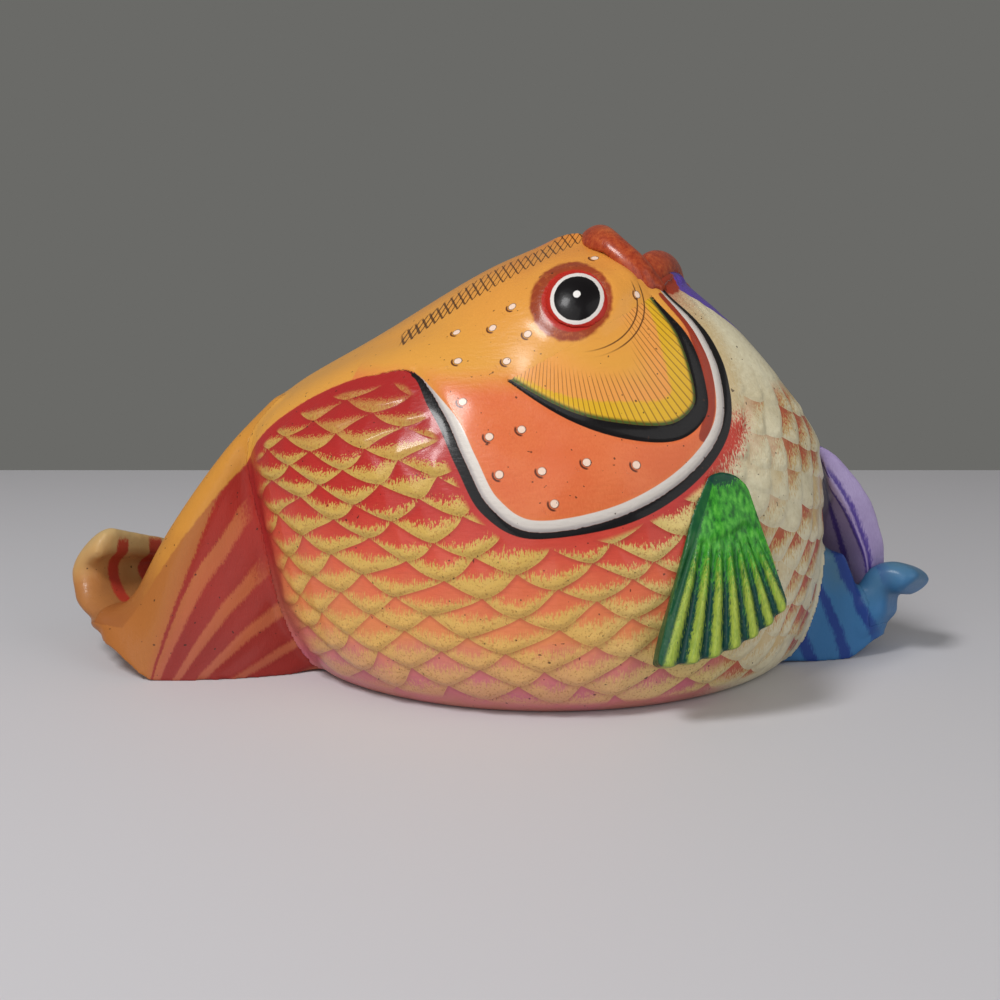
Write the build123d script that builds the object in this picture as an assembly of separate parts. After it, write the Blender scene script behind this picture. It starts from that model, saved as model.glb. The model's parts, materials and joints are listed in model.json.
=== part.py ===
"""Pot-bellied earthenware fish that sits on its belly with its mouth turned up.

Millimetres, +Z up. The origin is the middle of the flat slab under the belly. The tail lobes point
along -X and +X, and the side with the near eye faces -Y.
"""
import os
from math import cos, radians, sin
from typing import NamedTuple

from build123d import *

NEAR = 1
FAR = -1

# Hollow body
BELLY_LENGTH = 148.0
BELLY_DEPTH = 116.0
MOUTH_HEIGHT = 113.0
WALL = 6.0
SEAM_TURN = -8.0
HEAD_TURN = -20.0
HEAD_SHIFT = 10.0

# Slab that closes the belly
SLAB_THICKNESS = 7.0
SLAB_RIM = 9.0
VENT_DIAMETER = 6.0
VENT_OFFSET = 22.0

# Mouth
MOUTH_WIDTH = 23.0
MOUTH_REACH = 17.5
MOUTH_DEPTH = 13.0
UPPER_JAW_RISE = 11.0
UPPER_JAW_RUN = 16.5
LOWER_JAW_RISE = 3.0
LOWER_JAW_RUN = 0.8
UPPER_LIP_DIAMETER = 9.0
LOWER_LIP_DIAMETER = 11.0

# Eyes and gill covers
EYE_DIAMETER = 14.5
EYE_RISE = 2.6
EYE_DROP = 16.0
EYE_REACH = 4.5
GILL_THICKNESS = 1.6
GILL_DROP = 18.0
GILL_HEIGHT = 52.0
GILL_BACK = -31.0
GILL_FRONT = 38.0

# Pectoral fins
BELLY_TURN = -22.0
FIN_TURN = -29.0
FIN_TWIST = -30.0
FIN_LEAN = 20.0
FIN_HEIGHT = 32.5
FIN_LENGTH = 51.0
FIN_FRONT_LENGTH = 37.0
FIN_SPREAD = 43.0
FIN_THICKNESS = 6.5
FIN_RIBS = 7
FIN_GROOVE = 2.2
FIN_ROOT = 28.0

# Tail lobes
FAN_BURIAL = 24.0
LEFT_FAN_TURN = 3.0
LEFT_FAN_HEIGHT = 72.0
LEFT_FAN_REACH = 46.0
LEFT_FAN_NEAR = 25.0
LEFT_FAN_FAR = 9.0
RIGHT_FAN_TURN = 22.0
RIGHT_FAN_HEIGHT = 29.0
RIGHT_FAN_REACH = 19.0
RIGHT_FAN_NEAR = 10.0
RIGHT_FAN_FAR = 9.0
CURL_THICKNESS = 7.0
LEFT_CURL_REACH = 35.0
LEFT_CURL_SWEEP = 16.0
LEFT_CURL_SLOPE = 66.0
LEFT_CURL_RUN = 8.0
LEFT_CURL_RADIUS = 9.0
LEFT_CURL_BEND = 105.0
LEFT_CURL_WIDTH = 29.0
LEFT_CURL_TURN = -40.0
LEFT_CURL_TILT = -10.0
RIGHT_CURL_REACH = 10.0
RIGHT_CURL_SWEEP = 6.0
RIGHT_CURL_SLOPE = 95.0
RIGHT_CURL_RUN = 5.0
RIGHT_CURL_RADIUS = 5.5
RIGHT_CURL_BEND = -140.0
RIGHT_CURL_WIDTH = 18.0
RIGHT_CURL_TURN = -55.0
RIGHT_CURL_TILT = -15.0


class FanLevel(NamedTuple):
    """A level of a tail wedge: shares of its height, reach, near flare and far flare."""
    level: float
    reach: float
    near: float
    far: float


class Fan(NamedTuple):
    """A tail wedge: the side it points to, its turn, its four sizes and its levels."""
    side: int
    turn: float
    height: float
    reach: float
    near: float
    far: float
    levels: list


LEFT_FAN = Fan(-1, LEFT_FAN_TURN, LEFT_FAN_HEIGHT, LEFT_FAN_REACH, LEFT_FAN_NEAR, LEFT_FAN_FAR, [
    FanLevel(0.0, 1.00, 1.00, 1.00),
    FanLevel(0.53, 0.61, 0.48, 0.45),
    FanLevel(1.0, 0.02, 0.24, 0.45),
])
RIGHT_FAN = Fan(1, RIGHT_FAN_TURN, RIGHT_FAN_HEIGHT, RIGHT_FAN_REACH, RIGHT_FAN_NEAR, RIGHT_FAN_FAR, [
    FanLevel(0.0, 1.00, 1.00, 1.00),
    FanLevel(1.0, 0.10, 0.70, 0.45),
])


class Curl(NamedTuple):
    """A rolled tail strip: where it starts, how it sweeps up and rolls over, and how it is set."""
    reach: float
    sweep: float
    slope: float
    run: float
    radius: float
    bend: float
    width: float
    turn: float
    tilt: float


LEFT_CURL = Curl(
    LEFT_CURL_REACH, LEFT_CURL_SWEEP, LEFT_CURL_SLOPE, LEFT_CURL_RUN, LEFT_CURL_RADIUS,
    LEFT_CURL_BEND, LEFT_CURL_WIDTH, LEFT_CURL_TURN, LEFT_CURL_TILT)
RIGHT_CURL = Curl(
    RIGHT_CURL_REACH, RIGHT_CURL_SWEEP, RIGHT_CURL_SLOPE, RIGHT_CURL_RUN, RIGHT_CURL_RADIUS,
    RIGHT_CURL_BEND, RIGHT_CURL_WIDTH, RIGHT_CURL_TURN, RIGHT_CURL_TILT)


class Slice(NamedTuple):
    """A level of the body: shares of the mouth's height, half length and half depth."""
    level: float
    back: float
    throat: float
    near: float
    far: float
    turn: float


BODY_SLICES = [
    Slice(0.000, 0.87, 0.84, 0.85, 0.84, -0.3),
    Slice(0.045, 0.94, 0.92, 0.94, 0.94, -0.3),
    Slice(0.135, 1.00, 0.97, 0.99, 1.00, -0.3),
    Slice(0.270, 1.04, 0.99, 1.00, 1.02, -0.3),
    Slice(0.400, 1.08, 0.98, 0.98, 1.00, -0.2),
    Slice(0.530, 1.10, 0.94, 0.91, 0.93, 0.0),
    Slice(0.620, 1.03, 0.85, 0.82, 0.85, 0.3),
    Slice(0.710, 0.85, 0.74, 0.72, 0.75, 0.6),
    Slice(0.800, 0.62, 0.62, 0.61, 0.65, 0.8),
    Slice(0.890, 0.39, 0.49, 0.47, 0.52, 1.0),
    Slice(0.950, 0.20, 0.37, 0.29, 0.32, 1.0),
    Slice(1.000, 0.01, 0.24, 0.13, 0.15, 1.0),
]
CAVITY_SLICES = BODY_SLICES[1:9]
TIP_FULLNESS = 0.42
FLANK_FULLNESS = 0.58
SCALLOP_BULGE = 0.22
CROWN_SHARE = 0.14
GROOVE_START = 0.42


def quarter(tip, flank, middle):
    """A quarter of an egg, from its tip to its flank."""
    tip_handle = tip + (flank - middle) * TIP_FULLNESS
    flank_handle = flank + (tip - middle) * FLANK_FULLNESS
    return Bezier(tip, tip_handle, flank_handle, flank)


def egg(level, inset):
    """The outline of one level of the body, drawn in by inset."""
    height = level.level * MOUTH_HEIGHT
    back = -level.back * BELLY_LENGTH / 2 + inset
    throat = level.throat * BELLY_LENGTH / 2 - inset
    near = -level.near * BELLY_DEPTH / 2 + inset
    far = level.far * BELLY_DEPTH / 2 - inset
    centre = (back + throat) / 2
    middle = Vector(0, 0, 0)
    back_tip = Vector(back - centre, 0, 0)
    throat_tip = Vector(throat - centre, 0, 0)
    near_flank = Vector(0, near, 0)
    far_flank = Vector(0, far, 0)
    outline = [
        quarter(back_tip, near_flank, middle),
        quarter(throat_tip, near_flank, middle),
        quarter(throat_tip, far_flank, middle),
        quarter(back_tip, far_flank, middle),
    ]
    place = Pos(centre, 0, height) * Rot(0, 0, level.turn * HEAD_TURN)
    return place * make_face(outline)


def belly_form(slices, inset=0.0):
    """The rounded form of the body, drawn in by inset."""
    return loft([egg(level, inset) for level in slices])


def turned(angle):
    """Unit vector along +X, turned about +Z."""
    return Vector(cos(radians(angle)), sin(radians(angle)), 0)


def seat(form, start, direction):
    """Where a ray from start leaves the form, and the outward normal there."""
    hits = form.find_intersection_points(Axis(start, direction))
    place, normal = max(hits, key=lambda hit: (hit[0] - start).dot(direction))
    return place, normal if normal.dot(direction) > 0 else normal * -1


HEAD_FORWARD = turned(HEAD_TURN)
HEAD_NEAR = turned(HEAD_TURN - 90)
HEAD_PLANE = Plane((HEAD_SHIFT, 0, 0), x_dir=HEAD_FORWARD, z_dir=HEAD_NEAR)
SEAM_PLANE = Plane((0, 0, 0), x_dir=turned(SEAM_TURN), z_dir=turned(SEAM_TURN - 90))


def head_point(reach, height, side=0.0):
    """A point of the head: forward of its axis, up, and out towards the near side."""
    return Vector(HEAD_SHIFT, 0, height) + HEAD_FORWARD * reach + HEAD_NEAR * side


MOUTH_CORNER_HEIGHT = MOUTH_HEIGHT - MOUTH_DEPTH


def mouth_notch():
    """The gape: a wedge across the head, open at the top."""
    bottom = head_point(MOUTH_REACH, MOUTH_CORNER_HEIGHT)
    upper = head_point(MOUTH_REACH - UPPER_JAW_RUN, MOUTH_CORNER_HEIGHT + UPPER_JAW_RISE)
    lower = head_point(MOUTH_REACH + LOWER_JAW_RUN, MOUTH_CORNER_HEIGHT + LOWER_JAW_RISE)
    upper_end = bottom + (upper - bottom) * 3
    lower_end = bottom + (lower - bottom) * 3
    wedge = make_face(Polyline(bottom, upper_end, lower_end, close=True))
    return extrude(wedge, BELLY_DEPTH / 2, dir=HEAD_NEAR, both=True)


def lip(rise, run, diameter):
    """A roll of clay from corner to corner of the mouth, over the edge of a jaw."""
    near_corner = head_point(MOUTH_REACH, MOUTH_CORNER_HEIGHT, MOUTH_WIDTH / 2)
    far_corner = head_point(MOUTH_REACH, MOUTH_CORNER_HEIGHT, -MOUTH_WIDTH / 2)
    top = head_point(MOUTH_REACH + run, MOUTH_CORNER_HEIGHT + rise)
    path = ThreePointArc(near_corner, top, far_corner)
    start = Plane(path @ 0, z_dir=path % 0)
    roll = sweep(start * Circle(diameter / 2), path)
    ends = [Pos(corner) * Sphere(diameter / 2) for corner in (near_corner, far_corner)]
    return roll + ends


def eye(form, side):
    """A low dome on the cheek."""
    centre, outward = seat(form, head_point(EYE_REACH, MOUTH_HEIGHT - EYE_DROP), HEAD_NEAR * side)
    radius = EYE_DIAMETER / 2
    ball_radius = (radius ** 2 + EYE_RISE ** 2) / (2 * EYE_RISE)
    return Pos(centre - outward * (ball_radius - EYE_RISE)) * Sphere(ball_radius)


def gill_outline():
    """The cheek slab seen square to the head: a round-bottomed shield."""
    length = GILL_FRONT - GILL_BACK
    bottom_level = MOUTH_HEIGHT - GILL_DROP - GILL_HEIGHT

    def point(along, up):
        return GILL_BACK + along * length, bottom_level + up * GILL_HEIGHT

    back_edge = Line(point(0, 0.70), point(0.30, 0.20))
    lower_edge = Spline(back_edge @ 1, point(0.52, 0), point(1, 0.48), tangents=(back_edge % 1, (-0.1, 1)))
    front_edge = ThreePointArc(point(1, 0.48), point(0.95, 0.76), point(0.74, 1))
    cheek_edge = ThreePointArc(point(0.74, 1), point(0.42, 0.74), point(0, 0.70))
    return make_face([back_edge, lower_edge, front_edge, cheek_edge])


def gill_cover(form, side):
    """A thin slab that lies on the body."""
    cutter = HEAD_PLANE * extrude(gill_outline(), side * BELLY_DEPTH)
    return (belly_form(BODY_SLICES, -GILL_THICKNESS) & cutter) - form


def fin_outline(side):
    """A fan below its root, with a scalloped free edge. Returns the face and its ribs' rays."""
    step = FIN_SPREAD / FIN_RIBS
    back_angle = -90 - FIN_SPREAD / 2
    rays = []
    for count in range(FIN_RIBS + 1):
        length = FIN_LENGTH + (FIN_FRONT_LENGTH - FIN_LENGTH) * count / FIN_RIBS
        ray = turned(back_angle + step * count)
        rays.append((Vector(side * ray.X, ray.Y, 0), length))
    ends = [Vector(0, FIN_ROOT, 0) + ray * length for ray, length in rays]
    scallops = []
    for first, last in zip(ends, ends[1:]):
        across = last - first
        bulge = Vector(across.Y, -across.X, 0) * side * SCALLOP_BULGE
        scallops.append(ThreePointArc(first, (first + last) * 0.5 + bulge, last))
    shoulder = CROWN_SHARE * FIN_LENGTH
    crown_back = Vector(-side * shoulder, FIN_ROOT - 1.4 * shoulder, 0)
    crown_front = Vector(side * shoulder, FIN_ROOT - 1.4 * shoulder, 0)
    crown = ThreePointArc(crown_back, (0, FIN_ROOT - 0.5 * shoulder, 0), crown_front)
    edges = [Line(ends[-1], crown_front), Line(crown_back, ends[0])]
    return make_face(scallops + [crown] + edges), rays


def pectoral_fin(form, side):
    """A ribbed leaf that leans out from its root on the flank; side is 1 near and -1 far."""
    outline, rays = fin_outline(side)
    leaf = extrude(outline, FIN_THICKNESS)
    for ray, length in rays[1:-1]:
        start = Vector(0, FIN_ROOT, FIN_THICKNESS) + ray * (GROOVE_START * length)
        groove = Cylinder(FIN_GROOVE / 2, length, align=(Align.CENTER, Align.CENTER, Align.MIN))
        leaf -= Plane(start, z_dir=ray) * groove
    seat_drop = 0.45 * FIN_ROOT
    start = Vector(0, 0, FIN_HEIGHT + seat_drop)
    foot, _ = seat(form, start, turned(BELLY_TURN + side * FIN_TURN))
    normal = turned(BELLY_TURN + side * (FIN_TURN + FIN_TWIST))
    lean = radians(FIN_LEAN)
    facing = normal * cos(lean) + Vector(0, 0, sin(lean))
    across = Vector(0, 0, 1).cross(normal)
    place = Plane(foot - facing * FIN_THICKNESS / 2, x_dir=across, z_dir=facing)
    return place * Pos(0, -seat_drop, 0) * leaf


def fan_section(fan, level):
    """A level of a tail wedge: near edge, rounded tip, far edge and a back buried in the belly."""
    reach = level.reach * fan.reach
    near = -level.near * fan.near
    far = level.far * fan.far

    def point(along, across):
        return Vector(fan.side * along, across, level.level * fan.height)

    root_near = point(-FAN_BURIAL, near / 2)
    root_far = point(-FAN_BURIAL, 0.8 * far)
    near_end = point(0.62 * reach, near)
    far_end = point(0.72 * reach, 0.9 * far)
    outline = [
        ThreePointArc(root_near, point(0, 0.9 * near), near_end),
        ThreePointArc(near_end, point(reach, (near + far) / 2), far_end),
        ThreePointArc(far_end, point(0, far), root_far),
        Line(root_far, root_near),
    ]
    return make_face(outline)


def belly_end(fan):
    """Where a tail lobe leaves the belly."""
    return Pos(fan.side * BELLY_LENGTH / 2, 0, 0) * Rot(0, 0, fan.turn)


def tail_fan(fan):
    """The wedge of a tail lobe."""
    return belly_end(fan) * loft([fan_section(fan, level) for level in fan.levels])


def tail_curl(fan, curl):
    """A strip with rounded edges that sweeps up from under a tail wedge and rolls over."""
    upright = Plane((0, 0, 0), x_dir=(fan.side, 0, 0), z_dir=(0, -fan.side, 0))
    foot = Vector(0, CURL_THICKNESS / 2, 0)
    sole = JernArc(foot, (1, 0), curl.sweep, curl.slope)
    rise = Line(sole @ 1, sole @ 1 + (sole % 1) * curl.run)
    roll = JernArc(rise @ 1, rise % 1, curl.radius, curl.bend)
    path = upright * (sole + rise + roll)
    start = Plane(path @ 0, x_dir=(0, 1, 0), z_dir=path % 0)
    strip = sweep(start * SlotOverall(curl.width, CURL_THICKNESS), path)
    place = belly_end(fan) * Pos(fan.side * curl.reach, 0, 0)
    leaning = place * Rot(0, 0, curl.turn) * Rot(curl.tilt, 0, 0) * strip
    return split(leaning, Plane.XY, keep=Keep.TOP)


def export(name, piece):
    """Write one piece, named as its node."""
    export_step(piece, f"parts/{name}.step")


def main():
    os.makedirs("parts", exist_ok=True)
    form = belly_form(BODY_SLICES)
    slab_outline = egg(BODY_SLICES[0], SLAB_RIM)
    pocket = extrude(slab_outline, SLAB_THICKNESS)
    cavity = belly_form(CAVITY_SLICES, WALL)
    vent = Pos(VENT_OFFSET, 0, 0) * Cylinder(VENT_DIAMETER / 2, 3 * SLAB_THICKNESS)
    above_slab = Pos(0, 0, SLAB_THICKNESS) * Box(
        2 * BELLY_LENGTH, 2 * BELLY_DEPTH, MOUTH_HEIGHT, align=(Align.CENTER, Align.CENTER, Align.MIN))

    body = form - mouth_notch()
    shell = body - pocket - (cavity & above_slab)
    upper_lip = lip(UPPER_JAW_RISE, -UPPER_JAW_RUN, UPPER_LIP_DIAMETER) - body
    lower_lip = lip(LOWER_JAW_RISE, LOWER_JAW_RUN, LOWER_LIP_DIAMETER) - body - upper_lip
    eyes = {side: eye(form, side) - form - upper_lip - lower_lip for side in (NEAR, FAR)}
    gills = {side: gill_cover(form, side) - eyes[side] for side in (NEAR, FAR)}
    fins = {side: pectoral_fin(form, side) - form - gills[side] for side in (NEAR, FAR)}
    left_fan = tail_fan(LEFT_FAN) - form
    right_fan = tail_fan(RIGHT_FAN) - form - fins[FAR]
    left_curl = tail_curl(LEFT_FAN, LEFT_CURL)
    right_curl = tail_curl(RIGHT_FAN, RIGHT_CURL)

    export("body_half_near", split(shell, SEAM_PLANE, keep=Keep.TOP))
    export("body_half_far", split(shell, SEAM_PLANE, keep=Keep.BOTTOM))
    export("belly_slab", pocket - vent)
    export("upper_lip", upper_lip)
    export("lower_lip", lower_lip)
    export("eye_near", eyes[NEAR])
    export("eye_far", eyes[FAR])
    export("gill_cover_near", gills[NEAR])
    export("gill_cover_far", gills[FAR])
    export("pectoral_fin_near", fins[NEAR])
    export("pectoral_fin_far", fins[FAR])
    export("tail_fan_left", left_fan)
    export("tail_curl_left", left_curl - left_fan - form)
    export("tail_fan_right", right_fan)
    export("tail_curl_right", right_curl - right_fan - form - fins[FAR])


if __name__ == "__main__":
    main()
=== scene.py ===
"""Pot-bellied earthenware fish: the clay form, its relief and its hand-painted, waxed finish."""
import json
import math

import bpy
import numpy as np
from mathutils import Matrix, Vector
from mathutils.bvhtree import BVHTree
from mathutils.kdtree import KDTree

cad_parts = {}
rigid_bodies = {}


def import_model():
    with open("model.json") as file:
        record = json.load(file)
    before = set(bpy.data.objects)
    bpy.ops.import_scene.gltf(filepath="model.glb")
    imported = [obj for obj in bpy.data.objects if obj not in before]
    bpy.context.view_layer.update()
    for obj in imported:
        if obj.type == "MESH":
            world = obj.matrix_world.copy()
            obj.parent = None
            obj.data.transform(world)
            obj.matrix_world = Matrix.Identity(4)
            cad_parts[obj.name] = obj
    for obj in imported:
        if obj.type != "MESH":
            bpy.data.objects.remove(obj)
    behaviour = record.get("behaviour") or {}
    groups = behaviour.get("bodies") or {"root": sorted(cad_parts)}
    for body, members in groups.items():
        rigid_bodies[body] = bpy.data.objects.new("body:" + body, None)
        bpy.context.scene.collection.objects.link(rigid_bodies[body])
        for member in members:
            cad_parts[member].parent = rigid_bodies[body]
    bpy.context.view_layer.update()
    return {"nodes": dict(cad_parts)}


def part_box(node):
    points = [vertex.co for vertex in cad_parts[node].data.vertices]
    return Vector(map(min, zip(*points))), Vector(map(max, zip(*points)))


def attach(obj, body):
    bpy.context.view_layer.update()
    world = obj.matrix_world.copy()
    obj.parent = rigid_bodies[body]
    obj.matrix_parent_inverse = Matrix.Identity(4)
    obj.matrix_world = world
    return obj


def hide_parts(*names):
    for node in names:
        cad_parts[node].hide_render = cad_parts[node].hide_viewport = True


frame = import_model()

MM = 0.001
NEAR = 1
FAR = -1

# Head frame, in millimetres and degrees
HEAD_SHIFT = 10.0
HEAD_TURN = -20.0
BELLY_TURN = 6.0
SEAM_TURN = -8.0
TURN_START = 30.0
TURN_END = 104.0

# Clay
GRAIN = 0.625
LIP_GRAIN = 0.4
FIN_GRAIN = 0.4
VENT_PLACE = (22.0, 0.0, 3.5)
VENT_RADIUS = 4.0
SLAB_GAP = 0.8
SLAB_ROUNDNESS = 2.2
GILL_RISE = 0.55
GILL_DENT = 0.15
CHEEK_GROOVE = 0.6
BACK_DIP = 1.8
SKIN_WAVE = 0.25

# Mouth: how far it is pressed, and where it is open
MOUTH_TILT = 2.3
MOUTH_DROP = 1.0
MOUTH_PULL = 2.2
MOUTH_REACH = 8.0
MOUTH_LENGTH = 9.0
MOUTH_WIDTH = 10.5
MOUTH_DEPTH = 5.0

# Lips: how they swell, and how the ends of the upper one are drawn
LIP_SWELL = 0.5
LIP_END_FORWARD = 2.6
LIP_END_DOWN = 3.8
LIP_END_OUT = 1.6
LIP_END_SWELL = 0.8
LIP_SINK = 1.5

# Scales, on a belly of this half length, half width and mean radius
BELLY_LENGTH = 74.0
BELLY_WIDTH = 58.0
BELLY_RADIUS = 66.0
SCALE_COLUMNS = 12.6
SCALE_CROWDING = 1.2
SCALE_HEIGHT = 9.2
SCALE_RISE = 1.1
SCALE_ROUNDNESS = 1.5
SCALE_LEVEL = 0.3
SCALE_TILT = 0.10
SCALE_TILT_START = 100.0
SCALE_SWEEP = 0.0025
SCALE_SWEEP_START = 118.0
SCALE_CLOSING = 0.0012
SCALE_CLOSING_START = 45.0
THROAT_FLATNESS = 0.35

# A chance for each scale, from its row and column
CHANCE_BY_ROW = 12.9898
CHANCE_BY_COLUMN = 78.233
CHANCE_SPREAD = 4375.85453

# Unevenness of the scales: size of a wave, its length up the belly and its turns round it
COLUMN_WAVES = ((0.09, 6.1, 4.0), (0.05, 2.9, 11.0))
ROW_WAVES = ((0.18, 9.0, 1.9), (0.08, -5.0, 3.7))

# Eyes
EYE_REACH = 4.5
EYE_HEIGHT = 97.0
EYE_GRAIN = 0.25
EYE_STRETCH = 1.14
EYE_LOOK = 5.0
EYE_FORWARD = 13.0
EYE_MOUND = 0.7
EYE_MOUND_RADIUS = 8.8
EYE_MOUND_WIDTH = 2.6
EYE_CLEARANCE = 13.0
PUPIL = 5.5
EYE_WHITE = 6.4
GLINT = 0.88
ARC_RADII = (14.6, 16.4)
ARC_HALF_WIDTH = 0.18

# Fins
FIN_BELLY_TURN = -22.0
FIN_TURN = -29.0
FIN_TWIST = -30.0
FIN_LEAN = 20.0
FIN_ROOT = 28.0
FIN_SEAT = 45.1
FIN_SEAT_DROP = 12.6
FIN_SPREAD = 43.0
FIN_THICKNESS = 6.5
FIN_RIBS = 7
FIN_RIB_RISE = 0.5
FIN_CROWN = 1.8
FIN_GROOVES = (-1.3, 1.2)
FIN_GROOVE_WIDTH = 0.6
FIN_GROOVE_DEPTH = 0.6
FIN_FULL_FORWARD = 3.4
FIN_FULL_OUTWARD = 2.8
FIN_FULL_LENGTH = 7.0

# Painted lines on the cheek: reach along the head, height and, where it changes, half width
GILL_EDGE = [
    (-31.5, 79.3), (-21.0, 70.7), (-13.5, 60.3), (-6.8, 50.6), (3.0, 45.2), (20.0, 48.0),
    (33.0, 55.8), (39.2, 66.5), (37.2, 79.5), (30.5, 91.0), (23.6, 98.8),
]
GILL_BLACK = 2.4
GILL_WHITE = 2.7
CHEEK_LINE = [
    (-7.5, 78.9, 0.4), (8.0, 70.9, 1.1), (20.0, 67.2, 1.9), (29.5, 66.4, 2.1), (34.0, 70.0, 2.0),
    (34.0, 75.5, 1.7), (29.8, 85.9, 1.6), (21.8, 97.2, 0.3),
]
BROWN_LINE = [
    (23.6, 97.4, 0.8), (30.0, 89.0, 1.3), (34.6, 79.5, 1.4), (36.3, 71.5, 1.3), (35.7, 65.0, 1.3),
]
ABOVE_FACE = [(40.0, 160.0), (-220.0, 160.0), (-220.0, 12.0)]
BAND_EDGE = [(-110.0, 12.0), (-92.0, 42.0), (-76.7, 60.7), (-64.7, 70.2), (-53.4, 75.6), (-43.3, 78.3)]
RUN_STEP = 0.3

# Where the lines are looked for: past the seam, and above and before these places
SEAM_OVERLAP = 8.0
FACE_BOTTOM = 10.0
GILL_BOTTOM = 36.0
GILL_BACK = -50.0
HOLLOW_RIM = 1.5

# Hatching of the cheek, and the strip of crossed lines with the height that the dots keep below
HATCH_FOCUS = (-4.5, 116.0)
HATCH_STEP = 1.3
STRIP_EDGE = 108.1
STRIP_SLOPE = 0.475
STRIP_BEND = 0.00268
STRIP_STEP = 1.9
STRIP_LINES = (0.5, -1.1)
BELOW_STRIP = 84.0
BELOW_STRIP_SLOPE = 0.55

# Raised dots: a lattice of places on the head, its steps and how far a dot strays from it
DOT_ROWS = 8
DOT_COUNT = 10
DOT_START = (-48.0, 51.5)
DOT_STEPS = (9.4, 7.6)
DOT_STRAY = (1.8, 1.4)
DOT_REACH = 3.2
DOT_RADIUS = 1.0

# Left tail: the point its painted stripes run to, its flutes, and its curl's foot and directions
STRIPE_FOCUS = (-107.7, -18.6)
FLUTE_START = 18.0
FLUTE_STEP = 11.6
FLUTE_DEPTH = 0.12
LEFT_CURL_FOOT = np.array([-108.95, -1.83, 0.0])
LEFT_CURL_ACROSS = np.array([0.593, 0.786, -0.174])
LEFT_CURL_INWARD = np.array([0.799, -0.602, 0.0])


def turned(angle):
    """Unit vector along +X, turned about +Z."""
    return np.array([math.cos(math.radians(angle)), math.sin(math.radians(angle)), 0.0])


HEAD_FORWARD = turned(HEAD_TURN)
HEAD_NEAR = turned(HEAD_TURN - 90)
SEAM_NEAR = turned(SEAM_TURN - 90)
UP = np.array([0.0, 0.0, 1.0])

# Stand-ins, in millimetres: a start outside the fish, a missing point and a distance that is far off
OUTSIDE = 100.0
NOWHERE = np.array([0.0, 0.0, -500.0])
FAR_OFF = 60.0


# Modelling helpers

def pick(*pieces):
    """Select these objects alone and make the last one active."""
    bpy.ops.object.select_all(action="DESELECT")
    for piece in pieces:
        piece.select_set(True)
    bpy.context.view_layer.objects.active = pieces[-1]


def copy_of(mesh, name):
    """A new object with a copy of a mesh, selected alone."""
    piece = bpy.data.objects.new(name, mesh.copy())
    bpy.context.scene.collection.objects.link(piece)
    pick(piece)
    return piece


def cad_copy(node, name):
    """A merged copy of a node's mesh, as a new object."""
    piece = copy_of(frame["nodes"][node].data, name)
    piece.data.materials.clear()
    bpy.ops.object.mode_set(mode="EDIT")
    bpy.ops.mesh.select_all(action="SELECT")
    bpy.ops.mesh.remove_doubles(threshold=0.001 * MM)
    bpy.ops.object.mode_set(mode="OBJECT")
    return piece


def join(name, pieces):
    """Join objects into one of that name."""
    pick(*pieces)
    bpy.ops.object.join()
    whole = bpy.context.view_layer.objects.active
    whole.name = name
    whole.data.name = name
    return whole


def finish_with(piece, kind, **settings):
    """Add a modifier and apply it."""
    pick(piece)
    modifier = piece.modifiers.new(kind.title(), kind)
    for key, value in settings.items():
        setattr(modifier, key, value)
    bpy.ops.object.modifier_apply(modifier=modifier.name)


def rub(piece, name, weight, rounds):
    """Smooth a piece as far as each point's weight says."""
    group = piece.vertex_groups.new(name=name)
    for index in np.flatnonzero(weight > LEAST_WEIGHT):
        group.add([int(index)], float(weight[index]), "REPLACE")
    finish_with(piece, "SMOOTH", factor=0.5, iterations=rounds, vertex_group=name)


def soften(piece, grain, rounds):
    """Turn a joined copy into one even skin of clay and rub it smooth."""
    finish_with(piece, "REMESH", mode="VOXEL", voxel_size=grain * MM)
    finish_with(piece, "SMOOTH", factor=0.5, iterations=rounds)
    pick(piece)
    bpy.ops.object.shade_smooth()


def points_of(piece):
    """The points of a mesh in millimetres."""
    flat = np.empty(3 * len(piece.data.vertices), dtype=np.float32)
    piece.data.vertices.foreach_get("co", flat)
    return flat.reshape(-1, 3).astype(float) / MM


def normals_of(piece):
    """The normals at the points of a mesh."""
    flat = np.empty(3 * len(piece.data.vertices), dtype=np.float32)
    piece.data.vertex_normals.foreach_get("vector", flat)
    return flat.reshape(-1, 3).astype(float)


def move_points(piece, points):
    """Set the points of a mesh, in millimetres."""
    piece.data.vertices.foreach_set("co", (points * MM).astype(np.float32).ravel())
    piece.data.update()


def note(piece, name, values):
    """Keep a number or a vector for each point, for the paint."""
    kind = "FLOAT_VECTOR" if values.ndim == 2 else "FLOAT"
    key = "vector" if values.ndim == 2 else "value"
    attribute = piece.data.attributes.new(name, kind, "POINT")
    attribute.data.foreach_set(key, values.astype(np.float32).ravel())


def tree_of(piece):
    """Ray and distance tree of a mesh, in metres."""
    points = [vertex.co for vertex in piece.data.vertices]
    faces = [tuple(polygon.vertices) for polygon in piece.data.polygons]
    return BVHTree.FromPolygons(points, faces)


def smoothstep(low, high, value):
    """0 below low, 1 above high, and smooth between them."""
    share = np.clip((value - low) / (high - low), 0.0, 1.0)
    return share * share * (3.0 - 2.0 * share)


def fade(low, high, value):
    """1 below low, 0 above high, and smooth between them."""
    return 1.0 - smoothstep(low, high, value)


def bell(value, centre, width):
    """1 at the centre, falling smoothly to 0 on both sides of it."""
    return np.exp(-((value - centre) / width) ** 2)


# Places on the fish

def head_point(reach, height, out=0.0):
    """A point of the head: forward of its axis, up, and out towards the near side."""
    return np.array([HEAD_SHIFT, 0.0, height]) + HEAD_FORWARD * reach + HEAD_NEAR * out


def head_places(points):
    """Reach along the head and distance out to the near side, for many points."""
    offset = points - np.array([HEAD_SHIFT, 0.0, 0.0])
    return offset @ HEAD_FORWARD, offset @ HEAD_NEAR


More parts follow.
